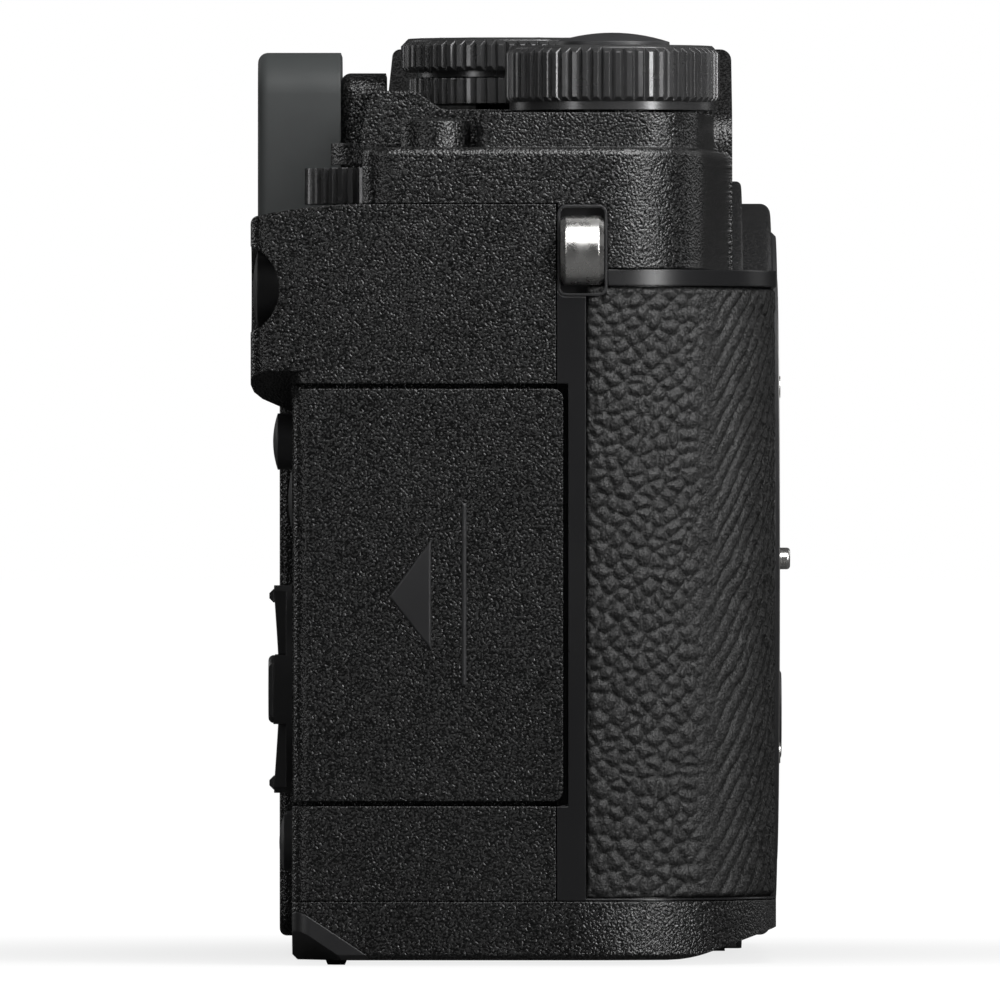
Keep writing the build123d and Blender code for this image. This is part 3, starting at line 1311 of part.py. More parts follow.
with BuildPart() as door_bracket:
    for z in arm_middles:
        with BuildSketch(Plane.XY.offset(z - bracket_arm_height / 2)):
            with Locations((door_axis_x, door_axis_y)):
                Circle(bracket_ring_radius)
            with BuildLine():
                Polyline(
                    (door_axis_x, door_axis_y),
                    (door_axis_x + 0.7, door_axis_y + 0.7),
                    (bracket_plate_x + bracket_thickness, door_axis_y - 0.9),
                    (bracket_plate_x + bracket_thickness, door_axis_y - 2.4),
                    (bracket_plate_x, door_axis_y - 2.4),
                    (bracket_plate_x, door_axis_y - 1.1),
                    (door_axis_x - 0.1, door_axis_y - 0.9),
                    close=True,
                )
            make_face()
        extrude(amount=bracket_arm_height)
    span_box(bracket_plate_x, bracket_plate_x + bracket_thickness, bracket_plate_end, door_axis_y - 2.2,
             arm_middles[0] - bracket_arm_height / 2, arm_middles[1] + bracket_arm_height / 2)
    upright_disc(door_axis_x, door_axis_y, door_bottom + 0.4, door_top - 0.4, door_pin_radius)
door_bracket.part.label = "door_bracket"
export_step(door_bracket.part, "parts/door_bracket.step")

with BuildPart() as card_unit:
    span_box(*card_unit_x, *card_unit_y, *card_unit_z)
    for y in (card_middle_y - card_pitch / 2, card_middle_y + card_pitch / 2):
        span_box(card_unit_x[0], card_unit_x[0] + card_depth,
                 y - card_slot_height / 2, y + card_slot_height / 2,
                 door_middle_z - card_slot_width / 2, door_middle_z + card_slot_width / 2, mode=Mode.SUBTRACT)
card_unit.part.label = "card_unit"
export_step(card_unit.part, "parts/card_unit.step")

# Battery in its chamber, with the door, its pin and the latch below
with BuildPart() as battery_chamber:
    span_box(chamber_x[0] + 0.05, chamber_x[1] - 0.05, chamber_y[0] + 0.05, chamber_y[1] - 0.05,
             battery_axis_z + 1.3, chamber_top - 0.05)
    span_box(battery_right_x - battery_gap, battery_left_x + battery_gap,
             battery_front_y - battery_gap, battery_back_y + battery_gap,
             base_bottom, battery_top + battery_gap, mode=Mode.SUBTRACT)
battery_chamber.part.label = "battery_chamber"
export_step(battery_chamber.part, "parts/battery_chamber.step")

with BuildPart() as battery:
    span_box(battery_right_x, battery_left_x, battery_front_y, battery_back_y, battery_bottom, battery_top)
    fillet(battery.edges().filter_by(Axis.Z), 1.2)
battery.part.label = "battery"
export_step(battery.part, "parts/battery.step")

with BuildPart() as battery_door:
    span_box(battery_door_x[0], battery_door_x[1], *battery_door_y,
             base_bottom, base_bottom + battery_door_thickness)
    fillet(battery_door.edges().filter_by(Axis.Z).group_by(Axis.X)[0], 1.5)
    base_bevel()
    depth_disc(battery_door_x[1], battery_axis_z, *battery_door_y, battery_barrel_radius)
    depth_disc(battery_door_x[1], battery_axis_z, *battery_door_y,
               battery_pin_radius + shaft_gap, mode=Mode.SUBTRACT)
    with BuildSketch(Plane.XY.offset(base_bottom)):
        with Locations((latch_x - latch_travel / 2, latch_y)):
            RectangleRounded(latch_length + latch_travel + 0.3, latch_width + 0.3, 1.2)
    extrude(amount=latch_thickness + 0.1, mode=Mode.SUBTRACT)
battery_door.part.label = "battery_door"
export_step(battery_door.part, "parts/battery_door.step")

with BuildPart() as battery_latch:
    with BuildSketch(Plane.XY.offset(base_bottom)):
        with Locations((latch_x, latch_y)):
            RectangleRounded(latch_length, latch_width, 1.1)
    extrude(amount=latch_thickness)
battery_latch.part.label = "battery_latch"
export_step(battery_latch.part, "parts/battery_latch.step")

with BuildPart() as battery_pin:
    depth_disc(battery_door_x[1], battery_axis_z, battery_door_y[0] - 1.1, battery_door_y[1] + 1.1,
               battery_pin_radius)
battery_pin.part.label = "battery_pin"
export_step(battery_pin.part, "parts/battery_pin.step")

# Tripod bush with its threaded hole, modelled at the thread's inner wall
with BuildPart() as tripod_bush:
    upright_disc(lens_x, tripod_y, base_bottom, base_seam - 0.1, bush_radius)
    upright_disc(lens_x, tripod_y, base_bottom, base_bottom + tripod_depth, tripod_radius, mode=Mode.SUBTRACT)
tripod_bush.part.label = "tripod_bush"
export_step(tripod_bush.part, "parts/tripod_bush.step")

# Covers over the sockets on the left side, each rounded about its rear edge where it bends open
for name, z0, z1 in (("upper", terminal_split_z + 0.15, terminal_top),
                     ("lower", terminal_bottom, terminal_split_z - 0.15)):
    with BuildPart() as terminal_cover:
        span_box(side_x - terminal_thickness, side_x, terminal_front_y, terminal_axis_y, z0, z1)
        upright_disc(terminal_axis_x, terminal_axis_y, z0, z1, terminal_thickness / 2)
        chamfer(terminal_cover.edges().filter_by(Axis.Z).sort_by_distance(
            (side_x, terminal_front_y, (z0 + z1) / 2))[0], 0.3)
    terminal_cover.part.label = f"terminal_cover_{name}"
    export_step(terminal_cover.part, f"parts/terminal_cover_{name}.step")
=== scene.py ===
import json
import math

import bmesh
import bpy
from mathutils import Matrix, Vector

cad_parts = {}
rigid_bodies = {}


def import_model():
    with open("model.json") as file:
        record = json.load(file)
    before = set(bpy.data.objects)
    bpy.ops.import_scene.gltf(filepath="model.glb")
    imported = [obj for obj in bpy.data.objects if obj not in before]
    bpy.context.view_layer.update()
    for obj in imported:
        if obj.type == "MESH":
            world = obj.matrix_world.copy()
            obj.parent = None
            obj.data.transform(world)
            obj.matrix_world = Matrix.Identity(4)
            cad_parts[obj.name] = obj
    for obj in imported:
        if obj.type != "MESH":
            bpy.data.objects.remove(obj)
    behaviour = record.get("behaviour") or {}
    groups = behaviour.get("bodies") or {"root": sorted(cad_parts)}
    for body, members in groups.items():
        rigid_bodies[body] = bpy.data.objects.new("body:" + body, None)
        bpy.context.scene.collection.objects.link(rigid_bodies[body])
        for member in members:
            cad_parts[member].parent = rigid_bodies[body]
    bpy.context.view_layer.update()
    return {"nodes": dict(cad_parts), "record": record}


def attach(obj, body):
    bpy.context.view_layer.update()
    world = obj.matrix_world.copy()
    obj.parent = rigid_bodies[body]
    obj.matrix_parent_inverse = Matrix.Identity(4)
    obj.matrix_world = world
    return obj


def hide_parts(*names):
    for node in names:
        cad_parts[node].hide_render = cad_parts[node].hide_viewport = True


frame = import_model()
nodes = frame["nodes"]
mm = 0.001
white = (1.0, 1.0, 1.0, 1.0)
noiseSpan = (0.3, 0.7)      # most of a noise lies between these
print("frame loaded:", len(nodes), "nodes")


# Shared by all that follows
def addObject(name, data):
    piece = bpy.data.objects.new(name, data)
    bpy.context.scene.collection.objects.link(piece)
    return piece


class Wiring:
    # a node tree, with short calls that add and join nodes
    def __init__(self, tree):
        self.tree = tree
        tree.nodes.clear()

    def put(self, source, target):
        # a socket is joined, a value is set
        if isinstance(source, bpy.types.NodeSocket):
            self.tree.links.new(source, target)
        else:
            target.default_value = source

    def add(self, kind, *sources, **settings):
        # the sources fill the node's inputs in their order
        node = self.tree.nodes.new(kind)
        for key, value in settings.items():
            setattr(node, key, value)
        for index, source in enumerate(sources):
            self.put(source, node.inputs[index])
        return node

    def named(self, kind, sources, **settings):
        # the sources fill the inputs that they name
        node = self.add(kind, **settings)
        for label, source in sources.items():
            self.put(source, node.inputs[label])
        return node

    def math(self, operation, *values):
        return self.add("ShaderNodeMath", *values, operation=operation).outputs[0]

    def plus(self, first, second):
        return self.math("ADD", first, second)

    def minus(self, first, second):
        return self.math("SUBTRACT", first, second)

    def times(self, first, second):
        return self.math("MULTIPLY", first, second)

    def ramp(self, value, fromLow, fromHigh, toLow, toHigh, smooth=False):
        node = self.add("ShaderNodeMapRange", value, fromLow, fromHigh, toLow, toHigh)
        if smooth:
            node.interpolation_type = "SMOOTHSTEP"
        return node.outputs[0]

    def vector(self, x, y, z):
        return self.add("ShaderNodeCombineXYZ", x, y, z).outputs[0]

    def vectorMath(self, operation, *values):
        return self.add("ShaderNodeVectorMath", *values, operation=operation).outputs[0]

    def scaled(self, vector, factor):
        node = self.add("ShaderNodeVectorMath", vector, operation="SCALE")
        self.put(factor, node.inputs["Scale"])
        return node.outputs[0]

    def length(self, vector):
        return self.add("ShaderNodeVectorMath", vector, operation="LENGTH").outputs["Value"]

    def parts(self, vector):
        return self.add("ShaderNodeSeparateXYZ", vector).outputs

    def ridgeDistance(self, rowPlace):
        # how far a place lies from the crack between two rows, 0 to 0.5
        phase = self.math("FRACT", self.plus(rowPlace, weave["rowShift"]))
        return self.minus(0.5, self.math("ABSOLUTE", self.minus(phase, 0.5)))


# Camera
viewFromSide = {
    "side": -69.65,         # the near side of the body, mm
    "distance": 2500.0,     # from that side to the camera
    "aimY": 2.46,
    "aimZ": 44.4,
    "widthSeen": 95.3,      # what the frame spans at the near side
    "sensor": 36.0,
    "clip": (0.1, 60.0),    # metres
}


def placeCamera():
    view = viewFromSide
    data = bpy.data.cameras.new("sideView")
    data.sensor_width = view["sensor"]
    data.lens = view["sensor"] * view["distance"] / view["widthSeen"]
    data.clip_start, data.clip_end = view["clip"]
    camera = addObject("sideView", data)
    x = view["side"] - view["distance"]
    camera.location = (x * mm, view["aimY"] * mm, view["aimZ"] * mm)
    camera.rotation_euler = (math.pi / 2, 0.0, -math.pi / 2)
    bpy.context.scene.camera = camera


# Floor and light
studio = {
    "floorTone": (0.08, 0.08, 0.08),
    "floorHalf": 12.0,              # metres
    "nearGlow": 0.78,               # what the floor adds for the camera close to the object
    "farGlow": 1.0,
    "glowReach": 0.16,              # metres from one to the other
    "roomTone": 0.06,               # what diffuse rays gather from the room
    "seenTone": 1.0,                # the background itself
    "mirrorLow": 0.01,              # what glossy rays find below and level with the object
    "mirrorHigh": 0.08,             # and above it
    "mirrorHeights": (-0.1, 0.9),
}
softboxes = {
    # name: place, aim and size in metres, watts, whether glossy rays find it
    "overhead": ((0.0, 0.10, 1.00), (0.0, 0.0, 0.05), (0.8, 0.6), 2.4, False),
    "keyRight": ((-0.14, -0.05, 0.17), (-0.06, -0.01, 0.08), (0.12, 0.10), 0.32, True),
    "keyLeft": ((0.50, 0.0, 0.80), (0.06, 0.0, 0.06), (0.6, 0.35), 1.2, False),
    "rearRight": ((-0.72, 0.66, 0.38), (-0.05, 0.0, 0.05), (0.14, 0.80), 1.8, True),
    "frontRight": ((-0.72, -0.66, 0.38), (-0.05, 0.0, 0.05), (0.14, 0.80), 7.6, True),
    "rearLeft": ((0.60, 0.80, 0.40), (0.0, 0.0, 0.05), (0.4, 0.6), 1.6, True),
    "frontLeft": ((0.60, -0.80, 0.40), (0.0, 0.0, 0.05), (0.4, 0.6), 1.0, True),
}


def placeLights():
    for name, (place, aim, size, watts, glossy) in softboxes.items():
        data = bpy.data.lights.new(name, "AREA")
        data.shape = "RECTANGLE"
        data.size, data.size_y = size
        data.energy = watts
        lamp = addObject(name, data)
        lamp.visible_camera = False
        lamp.visible_glossy = glossy
        lamp.location = place
        direction = Vector(aim) - Vector(place)
        lamp.rotation_euler = direction.to_track_quat("-Z", "Y").to_euler()


def paintRoom():
    world = bpy.data.worlds.new("paleRoom")
    bpy.context.scene.world = world
    world.use_nodes = True
    room = Wiring(world.node_tree)
    rays = room.add("ShaderNodeLightPath").outputs
    up = room.parts(room.add("ShaderNodeTexCoord").outputs["Generated"])["Z"]
    mirrored = room.ramp(up, *studio["mirrorHeights"], studio["mirrorLow"], studio["mirrorHigh"])
    plain, glossy, seen = [room.add("ShaderNodeBackground", white, strength).outputs[0]
                           for strength in (studio["roomTone"], mirrored, studio["seenTone"])]
    shown = plain
    for ray, shade in (("Is Glossy Ray", glossy), ("Is Transmission Ray", seen),
                       ("Is Camera Ray", seen)):
        shown = room.add("ShaderNodeMixShader", rays[ray], shown, shade).outputs[0]
    room.add("ShaderNodeOutputWorld", shown)


def layFloor():
    half = studio["floorHalf"]
    corners = [(-half, -half, 0), (half, -half, 0), (half, half, 0), (-half, half, 0)]
    mesh = bpy.data.meshes.new("floor")
    mesh.from_pydata(corners, [], [(0, 1, 2, 3)])
    floor = addObject("floor", mesh)
    mat = bpy.data.materials.new("paleFloor")
    mat.use_nodes = True
    board = Wiring(mat.node_tree)
    fromCamera = board.add("ShaderNodeLightPath").outputs["Is Camera Ray"]
    fromBelow = board.add("ShaderNodeNewGeometry").outputs["Backfacing"]
    away = board.length(board.add("ShaderNodeTexCoord").outputs["Object"])
    strength = board.ramp(away, 0.0, studio["glowReach"], studio["nearGlow"], studio["farGlow"],
                          True)
    tone = board.add("ShaderNodeBsdfDiffuse", (*studio["floorTone"], 1.0)).outputs[0]
    glow = board.add("ShaderNodeEmission", white, strength).outputs[0]
    both = board.add("ShaderNodeAddShader", tone, glow).outputs[0]
    above = board.add("ShaderNodeMixShader", fromCamera, tone, both).outputs[0]
    through = board.add("ShaderNodeBsdfTransparent").outputs[0]
    shown = board.add("ShaderNodeMixShader", fromBelow, above, through).outputs[0]
    board.add("ShaderNodeOutputMaterial", shown)
    mesh.materials.append(mat)


placeCamera()
placeLights()
paintRoom()
layFloor()
bpy.context.scene.view_settings.view_transform = "Standard"
print("camera, floor and light placed")


# Finishes
class Finish(Wiring):
    # a material whose patterns lie on object coordinates, with grain and depth in mm
    def __init__(self, name):
        self.mat = bpy.data.materials.new(name)
        self.mat.use_nodes = True
        super().__init__(self.mat.node_tree)
        self.skin = self.add("ShaderNodeBsdfPrincipled")
        self.add("ShaderNodeOutputMaterial", self.skin.outputs["BSDF"])
        self.place = self.add("ShaderNodeTexCoord").outputs["Object"]

    def noise(self, grain, detail=2.0, rough=0.55):
        return self.named("ShaderNodeTexNoise", {
            "Vector": self.place, "Scale": 1.0 / (grain * mm), "Detail": detail,
            "Roughness": rough}).outputs["Fac"]

    def speckle(self, grain):
        # noise with less fine detail, for a grain that is itself the pattern
        return self.noise(grain, 1.0, 0.5)

    def mixed(self, first, second, share):
        node = self.add("ShaderNodeMix", data_type="FLOAT")
        for index, source in ((0, share), (2, first), (3, second)):
            self.put(source, node.inputs[index])
        return node.outputs[0]

    def tint(self, share, dark, light):
        node = self.add("ShaderNodeMix", data_type="RGBA")
        for index, source in ((0, share), (6, (*dark, 1.0)), (7, (*light, 1.0))):
            self.put(source, node.inputs[index])
        self.put(node.outputs[2], self.skin.inputs["Base Color"])

    def roughness(self, source, low, high):
        self.put(self.ramp(source, *noiseSpan, low, high), self.skin.inputs["Roughness"])

    def fixed(self, **values):
        for key, value in values.items():
            self.skin.inputs[key.replace("_", " ")].default_value = value

    def rounded(self, radius):
        # catches the light along sharp edges as a small radius does
        return self.named("ShaderNodeBevel", {"Radius": radius * mm}, samples=4).outputs["Normal"]

    def bump(self, source, depth, before=None):
        inputs = {"Strength": 1.0, "Distance": depth * mm, "Height": source}
        if before is not None:
            inputs["Normal"] = before
        normal = self.named("ShaderNodeBump", inputs).outputs["Normal"]
        self.put(normal, self.skin.inputs["Normal"])
        return normal

    def farFrom(self, x, z):
        # distance in mm from an axis along Y
        offset = self.vectorMath("SUBTRACT", self.place, (x * mm, 0.0, z * mm))
        return self.length(self.vectorMath("MULTIPLY", offset, (1.0 / mm, 0.0, 1.0 / mm)))


crinkle = {
    "grain": 0.24, "depth": 0.12,                   # of the paint's relief, mm
    # pit is painted shade in the hollows of the relief, crest a lighter tone painted as light on
    # its tops
    "shadedPit": (0.0015, 0.0015, 0.0015), "crest": (0.019, 0.019, 0.019),
    "low": 0.42, "high": 0.62,                      # where in the relief the painted shade of the pits gives way to the lighter crest tone
    "rough": (0.19, 0.25), "blotch": 9.0, "edge": 0.22, "shine": 0.45,
}


def crinklePaint():
    f = Finish("crinklePaint")
    relief = f.speckle(crinkle["grain"])
    # painted shade in the pits and painted light on the crests, following the relief
    f.tint(f.ramp(relief, crinkle["low"], crinkle["high"], 0.0, 1.0),
           crinkle["shadedPit"], crinkle["crest"])
    f.roughness(f.noise(crinkle["blotch"]), *crinkle["rough"])
    f.fixed(Specular_IOR_Level=crinkle["shine"])
    f.bump(relief, crinkle["depth"], f.rounded(crinkle["edge"]))
    return f.mat


chassis = {
    "lensX": 7.0, "lensZ": 37.6, "grainedTo": 38.3, "fade": 0.1,
    "smooth": (0.010, 0.010, 0.0105), "rough": (0.22, 0.30), "depth": 0.12, "edge": 0.20,
    "shine": 0.40,
}


def chassisPaint():
    # smooth satin, with the crinkle only on the boss around the mount, where its pits keep the
    # darker satin tone as painted shade and its crests are painted lighter as painted light
    f = Finish("chassisPaint")
    rim, fade = chassis["grainedTo"], chassis["fade"]
    distance = f.farFrom(chassis["lensX"], chassis["lensZ"])
    onBoss = f.ramp(distance, rim - fade, rim + fade, 1.0, 0.0)
    relief = f.speckle(crinkle["grain"])
    crests = f.ramp(relief, crinkle["low"], crinkle["high"], 0.0, 1.0)
    # on the boss, painted shade in the pits and painted light on the crests
    f.tint(f.times(crests, onBoss), chassis["smooth"], crinkle["crest"])
    f.roughness(f.noise(crinkle["blotch"]), *chassis["rough"])
    f.fixed(Specular_IOR_Level=chassis["shine"])
    f.bump(f.times(relief, onBoss), chassis["depth"], f.rounded(chassis["edge"]))
    return f.mat


hide = {
    # crack is painted shade in the cracks, crest the tone of the cell tops
    "shadedCrack": (0.0010, 0.0010, 0.0010), "crest": (0.040, 0.040, 0.040),
    "crackEdges": (0.01, 0.27), "crackDepth": 0.30,
    "reliefEdges": (0.10, 0.95), "hollowShadeFloor": 0.22,      # how far painted shade darkens the hollows
    "grain": 0.26, "depth": 0.14,
    "grainEdges": (0.40, 0.62), "poreShadeFloor": 0.45,        # how far painted shade darkens the pores
    "rough": (0.34, 0.46), "age": 7.0, "shine": 0.16,
}
weave = {"randomness": 0.74, "rowShift": 0.13}      # shared with the leather's mesh


def grainedHide():
    # the cracks follow the cells that the relief was made from, finer than its mesh; cracks,
    # hollows and pores get painted shade
    f = Finish("grainedHide")
    relief = f.add("ShaderNodeAttribute", attribute_name="relief").outputs["Fac"]
    cells = f.add("ShaderNodeAttribute", attribute_name="cells").outputs["Vector"]
    edge = f.named("ShaderNodeTexVoronoi", {
        "Vector": cells, "Scale": 1.0, "Randomness": weave["randomness"]},
        voronoi_dimensions="2D", feature="DISTANCE_TO_EDGE").outputs["Distance"]
    rowPlace, ridged = f.parts(cells)[1:]
    toEdge = f.math("MINIMUM", f.mixed(edge, 0.5, ridged),
                    f.mixed(0.5, f.ridgeDistance(rowPlace), ridged))
    shadedCrack = f.ramp(toEdge, *hide["crackEdges"], 0.0, 1.0)
    grain = f.speckle(hide["grain"])
    level = f.times(shadedCrack, f.ramp(relief, *hide["reliefEdges"], hide["hollowShadeFloor"], 1.0))
    level = f.times(level, f.ramp(grain, *hide["grainEdges"], hide["poreShadeFloor"], 1.0))
    # painted shade in the cracks, the hollows and the pores, the crest tone elsewhere
    f.tint(level, hide["shadedCrack"], hide["crest"])
    f.roughness(f.noise(hide["age"]), *hide["rough"])
    f.fixed(Specular_IOR_Level=hide["shine"])
    f.bump(grain, hide["depth"], f.bump(shadedCrack, hide["crackDepth"]))
    return f.mat


# Plain finishes: name, dark, light, what tone and gloss vary over in mm, roughness,
# grain and its depth in mm, rounding of edges in mm, metal
plainLooks = {
    "rubber": ("mouldedRubber", (0.028, 0.031, 0.031), (0.037, 0.040, 0.040), 7.0, 5.0,
               (0.55, 0.70), 0.09, 0.010, 0.25, 0.0),
    "dial_black": ("anodisedBlack", (0.070, 0.070, 0.071), (0.085, 0.085, 0.086), 5.0, 2.0,
                   (0.22, 0.28), 0.10, 0.004, 0.10, 0.75),
    "button_black": ("buttonPlastic", (0.014, 0.014, 0.015), (0.022, 0.022, 0.023), 3.0, 2.5,
                     (0.36, 0.46), 0.10, 0.008, 0.15, 0.0),
    "trim_black": ("satinTrim", (0.012, 0.012, 0.0125), (0.018, 0.018, 0.019), 14.0, 4.0,
                   (0.34, 0.42), 0.12, 0.006, 0.15, 0.0),
    "polished_steel": ("polishedSteel", (0.74, 0.73, 0.71), (0.86, 0.85, 0.83), 2.5, 1.2,
                       (0.22, 0.32), 0.25, 0.002, 0.15, 1.0),
    "mount_steel": ("mountPlate", (0.56, 0.56, 0.55), (0.60, 0.59, 0.58), 4.0, 3.0,
                    (0.30, 0.35), 0.20, 0.003, 0.15, 1.0),
    "shutter_black": ("shutterBlack", (0.012, 0.012, 0.012), (0.02, 0.02, 0.02), 6.0, 3.6,
                      (0.6, 0.75), 0.35, 0.006, 0.12, 0.0),
    "sensor_coating": ("sensorCoating", (0.05, 0.09, 0.11), (0.07, 0.05, 0.10), 20.0, 12.0,
                       (0.03, 0.06), 1.05, 0.0, 0.12, 0.0),
    "clear_glass": ("coatedGlass", (0.02, 0.02, 0.03), (0.03, 0.03, 0.04), 9.0, 5.4,
                    (0.02, 0.05), 0.50, 0.0, 0.12, 0.0),
    "screen_glass": ("screenGlass", (0.006, 0.006, 0.006), (0.009, 0.009, 0.009), 30.0, 18.0,
                     (0.03, 0.06), 1.55, 0.0, 0.12, 0.0),
    "contact_block": ("contactBlock", (0.015, 0.015, 0.015), (0.022, 0.022, 0.022), 3.0, 1.8,
                      (0.35, 0.5), 0.20, 0.004, 0.12, 0.0),
    "circuit_board": ("circuitBoard", (0.01, 0.06, 0.03), (0.02, 0.10, 0.05), 5.0, 3.0,
                      (0.3, 0.45), 0.30, 0.01, 0.12, 0.0),
    "battery_shell": ("batteryShell", (0.05, 0.05, 0.05), (0.07, 0.07, 0.07), 8.0, 4.8,
                      (0.4, 0.55), 0.45, 0.01, 0.12, 0.0),
}
inkLooks = {
    "gold": ("contactGold", (0.72, 0.50, 0.20), (0.85, 0.62, 0.28), 1.0, 0.6,
             (0.18, 0.28), 0.10, 0.002, 0.12, 1.0),
    "white": ("markWhite", (0.55, 0.55, 0.55), (0.66, 0.66, 0.66), 1.5, 0.9,
              (0.45, 0.6), 0.125, 0.004, 0.12, 0.0),
    "red": ("markRed", (0.42, 0.02, 0.02), (0.55, 0.04, 0.03), 1.5, 0.9,
            (0.35, 0.5), 0.125, 0.004, 0.12, 0.0),
}


def plainFinish(name, dark, light, tone, gloss, rough, grain, depth, edge, metal):
    f = Finish(name)
    f.tint(f.noise(tone), dark, light)
    f.roughness(f.noise(gloss), *rough)
    f.fixed(Metallic=metal)
    f.bump(f.noise(grain), depth, f.rounded(edge))
    return f.mat


def layFinishes():
    for entry in frame["record"]["subparts"]:
        materials = nodes[entry["node"]].data.materials
        finish = finishes[entry["material_slot"]]
        if not materials:
            materials.append(finish)
        for index in range(len(materials)):
            materials[index] = finish


finishes = {"body_paint": crinklePaint(), "chassis_paint": chassisPaint(),
            "leather": grainedHide()}
finishes.update({slot: plainFinish(*look) for slot, look in plainLooks.items()})
inks = {name: plainFinish(*look) for name, look in inkLooks.items()}
layFinishes()
print("finishes assigned:", len(finishes))


# Pieces made by node trees
class NodeTree(Wiring):
    # a Geometry Nodes tree with named inputs
    sockets = {float: "NodeSocketFloat", int: "NodeSocketInt",
               bpy.types.Object: "NodeSocketObject", bpy.types.Material: "NodeSocketMaterial"}

    def __init__(self, name, inputs):
        super().__init__(bpy.data.node_groups.new(name, "GeometryNodeTree"))
        face = self.tree.interface
        face.new_socket(name="Geometry", in_out="OUTPUT", socket_type="NodeSocketGeometry")
        self.inputs = inputs
        self.ids = {}
        for label, value in inputs.items():
            kind = next(self.sockets[sort] for sort in self.sockets if isinstance(value, sort))
            socket = face.new_socket(name=label, in_out="INPUT", socket_type=kind)
            self.ids[label] = socket.identifier
        self.entry = self.add("NodeGroupInput")
        self.exit = self.add("NodeGroupOutput")

    def input(self, label):
        return self.entry.outputs[label]

    def noise(self, place, scale):
        return self.named("ShaderNodeTexNoise", {"Vector": place, "Scale": scale, "Detail": 2.0},
                          noise_dimensions="3D").outputs

    def cells(self, place, feature):
        return self.named("ShaderNodeTexVoronoi", {
            "Vector": place, "Scale": 1.0, "Randomness": weave["randomness"]},
            voronoi_dimensions="2D", feature=feature).outputs

    def moved(self, geometry, place):
        return self.named("GeometryNodeSetPosition",
                          {"Geometry": geometry, "Position": place}).outputs[0]

    def stored(self, geometry, name, value, kind):
        return self.named("GeometryNodeStoreNamedAttribute",
                          {"Geometry": geometry, "Name": name, "Value": value},
                          data_type=kind, domain="POINT").outputs[0]

    def disc(self):
        return self.named("GeometryNodeMeshCylinder", {
            "Vertices": screws["sides"], "Radius": self.input("Head radius"),
            "Depth": self.input("Head height")}).outputs["Mesh"]

    def close(self, geometry):
        real = self.add("GeometryNodeRealizeInstances", geometry).outputs[0]
        done = self.named("GeometryNodeSetMaterial",
                          {"Geometry": real, "Material": self.input("Finish")}).outputs[0]
        self.put(done, self.exit.inputs[0])

    def bake(self, name):
        # one plain mesh object from the tree, with the modifier gone
        carrier = addObject(name + "Seed", bpy.data.meshes.new(name + "Seed"))
        modifier = carrier.modifiers.new("nodes", "NODES")
        modifier.node_group = self.tree
        for label, value in self.inputs.items():
            modifier[self.ids[label]] = value
        bpy.context.view_layer.update()
        mesh = finalMesh(carrier)
        carrier.modifiers.clear()
        bpy.data.objects.remove(carrier)
        mesh.name = name
        return addObject(name, mesh)


def finalMesh(piece):
    # the mesh of a piece as its modifiers leave it
    graph = bpy.context.evaluated_depsgraph_get()
    return bpy.data.meshes.new_from_object(piece.evaluated_get(graph), depsgraph=graph,
                                           preserve_all_data_layers=True)


def dress(piece, finish):
    # one finish all over the piece
    piece.data.materials.clear()
    piece.data.materials.append(finish)
    for face in piece.data.polygons:
        face.material_index = 0


def pieceFrom(name, bm):
    mesh = bpy.data.meshes.new(name)
    bm.to_mesh(mesh)
    bm.free()
    return addObject(name, mesh)


def placed(piece, body, finish):
    dress(piece, finish)
    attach(piece, body)


# Leather
bodyPlan = {
    "halfWidth": 69.65, "frontY": -24.05, "endRadius": 19.0, "startY": -5.84,
    "arcSteps": 96, "frontRun": 3.4,    # end radii that the path goes along the front
    "lensX": 7.0, "lensZ": 37.6, "bore": 37.2,
}
leatherSkins = {
    "bottom": 6.5, "top": 64.75, "thickness": 0.75,
    "cell": 1.50, "cellGrowth": 0.15,                   # mm, and how much larger below than above
    "rowAngle": 50.0, "vertex": 10.7,                   # rows fold in a V at this length
    "ridgeShare": 0.93, "ridgeStart": -1.0, "ridgeRise": 5.0, "ridgeEnd": 30.0, "ridgeFade": 8.0,
    "wander": 0.34, "wanderReach": 2.6, "wanderScale": 0.22,
    "crackDepth": 0.56, "crackReach": 0.22, "dome": 0.42, "domeReach": 0.45,
    "lowestCell": 0.74,                                 # share of the full height
    "lumpScale": 1.7, "lumpEdges": (0.3, 0.7), "lumpDrop": 0.22,
    "edgeRoll": 0.35, "columns": 300, "rows": 300, "backColumns": 14,
}
skins = {
    # node: side, seed, and the hole as x, z, radius
    "leather_right": (-1, 3, (-37.0, 58.5, 3.3)),
    "leather_left": (1, 8, (47.0, 23.0, 4.82)),
}
holeCut = {"before": 1.0, "behind": 3.0, "segments": 96}      # mm from the front of the skin


def leatherGrid(tree):
    # a grid, with each point's share across and up, its height, and its length along the path
    size = leatherSkins
    grid = tree.add("GeometryNodeMeshGrid", 1.0, 1.0, size["columns"], size["rows"])
    flat = tree.parts(tree.add("GeometryNodeInputPosition").outputs[0])
    across, up = tree.plus(flat[0], 0.5), tree.plus(flat[1], 0.5)
    high = tree.plus(tree.input("Bottom"), tree.times(up, tree.input("Height")))
    # a row runs along the path until it meets the ring around the mount
    rise = tree.minus(high, tree.input("Ring drop"))
    radius = tree.input("Ring radius")
    square = tree.minus(tree.times(radius, radius), tree.times(rise, rise))
    reach = tree.minus(tree.input("Front run"), tree.math("SQRT", square))
    return grid.outputs["Mesh"], across, up, high, reach, tree.times(across, reach)


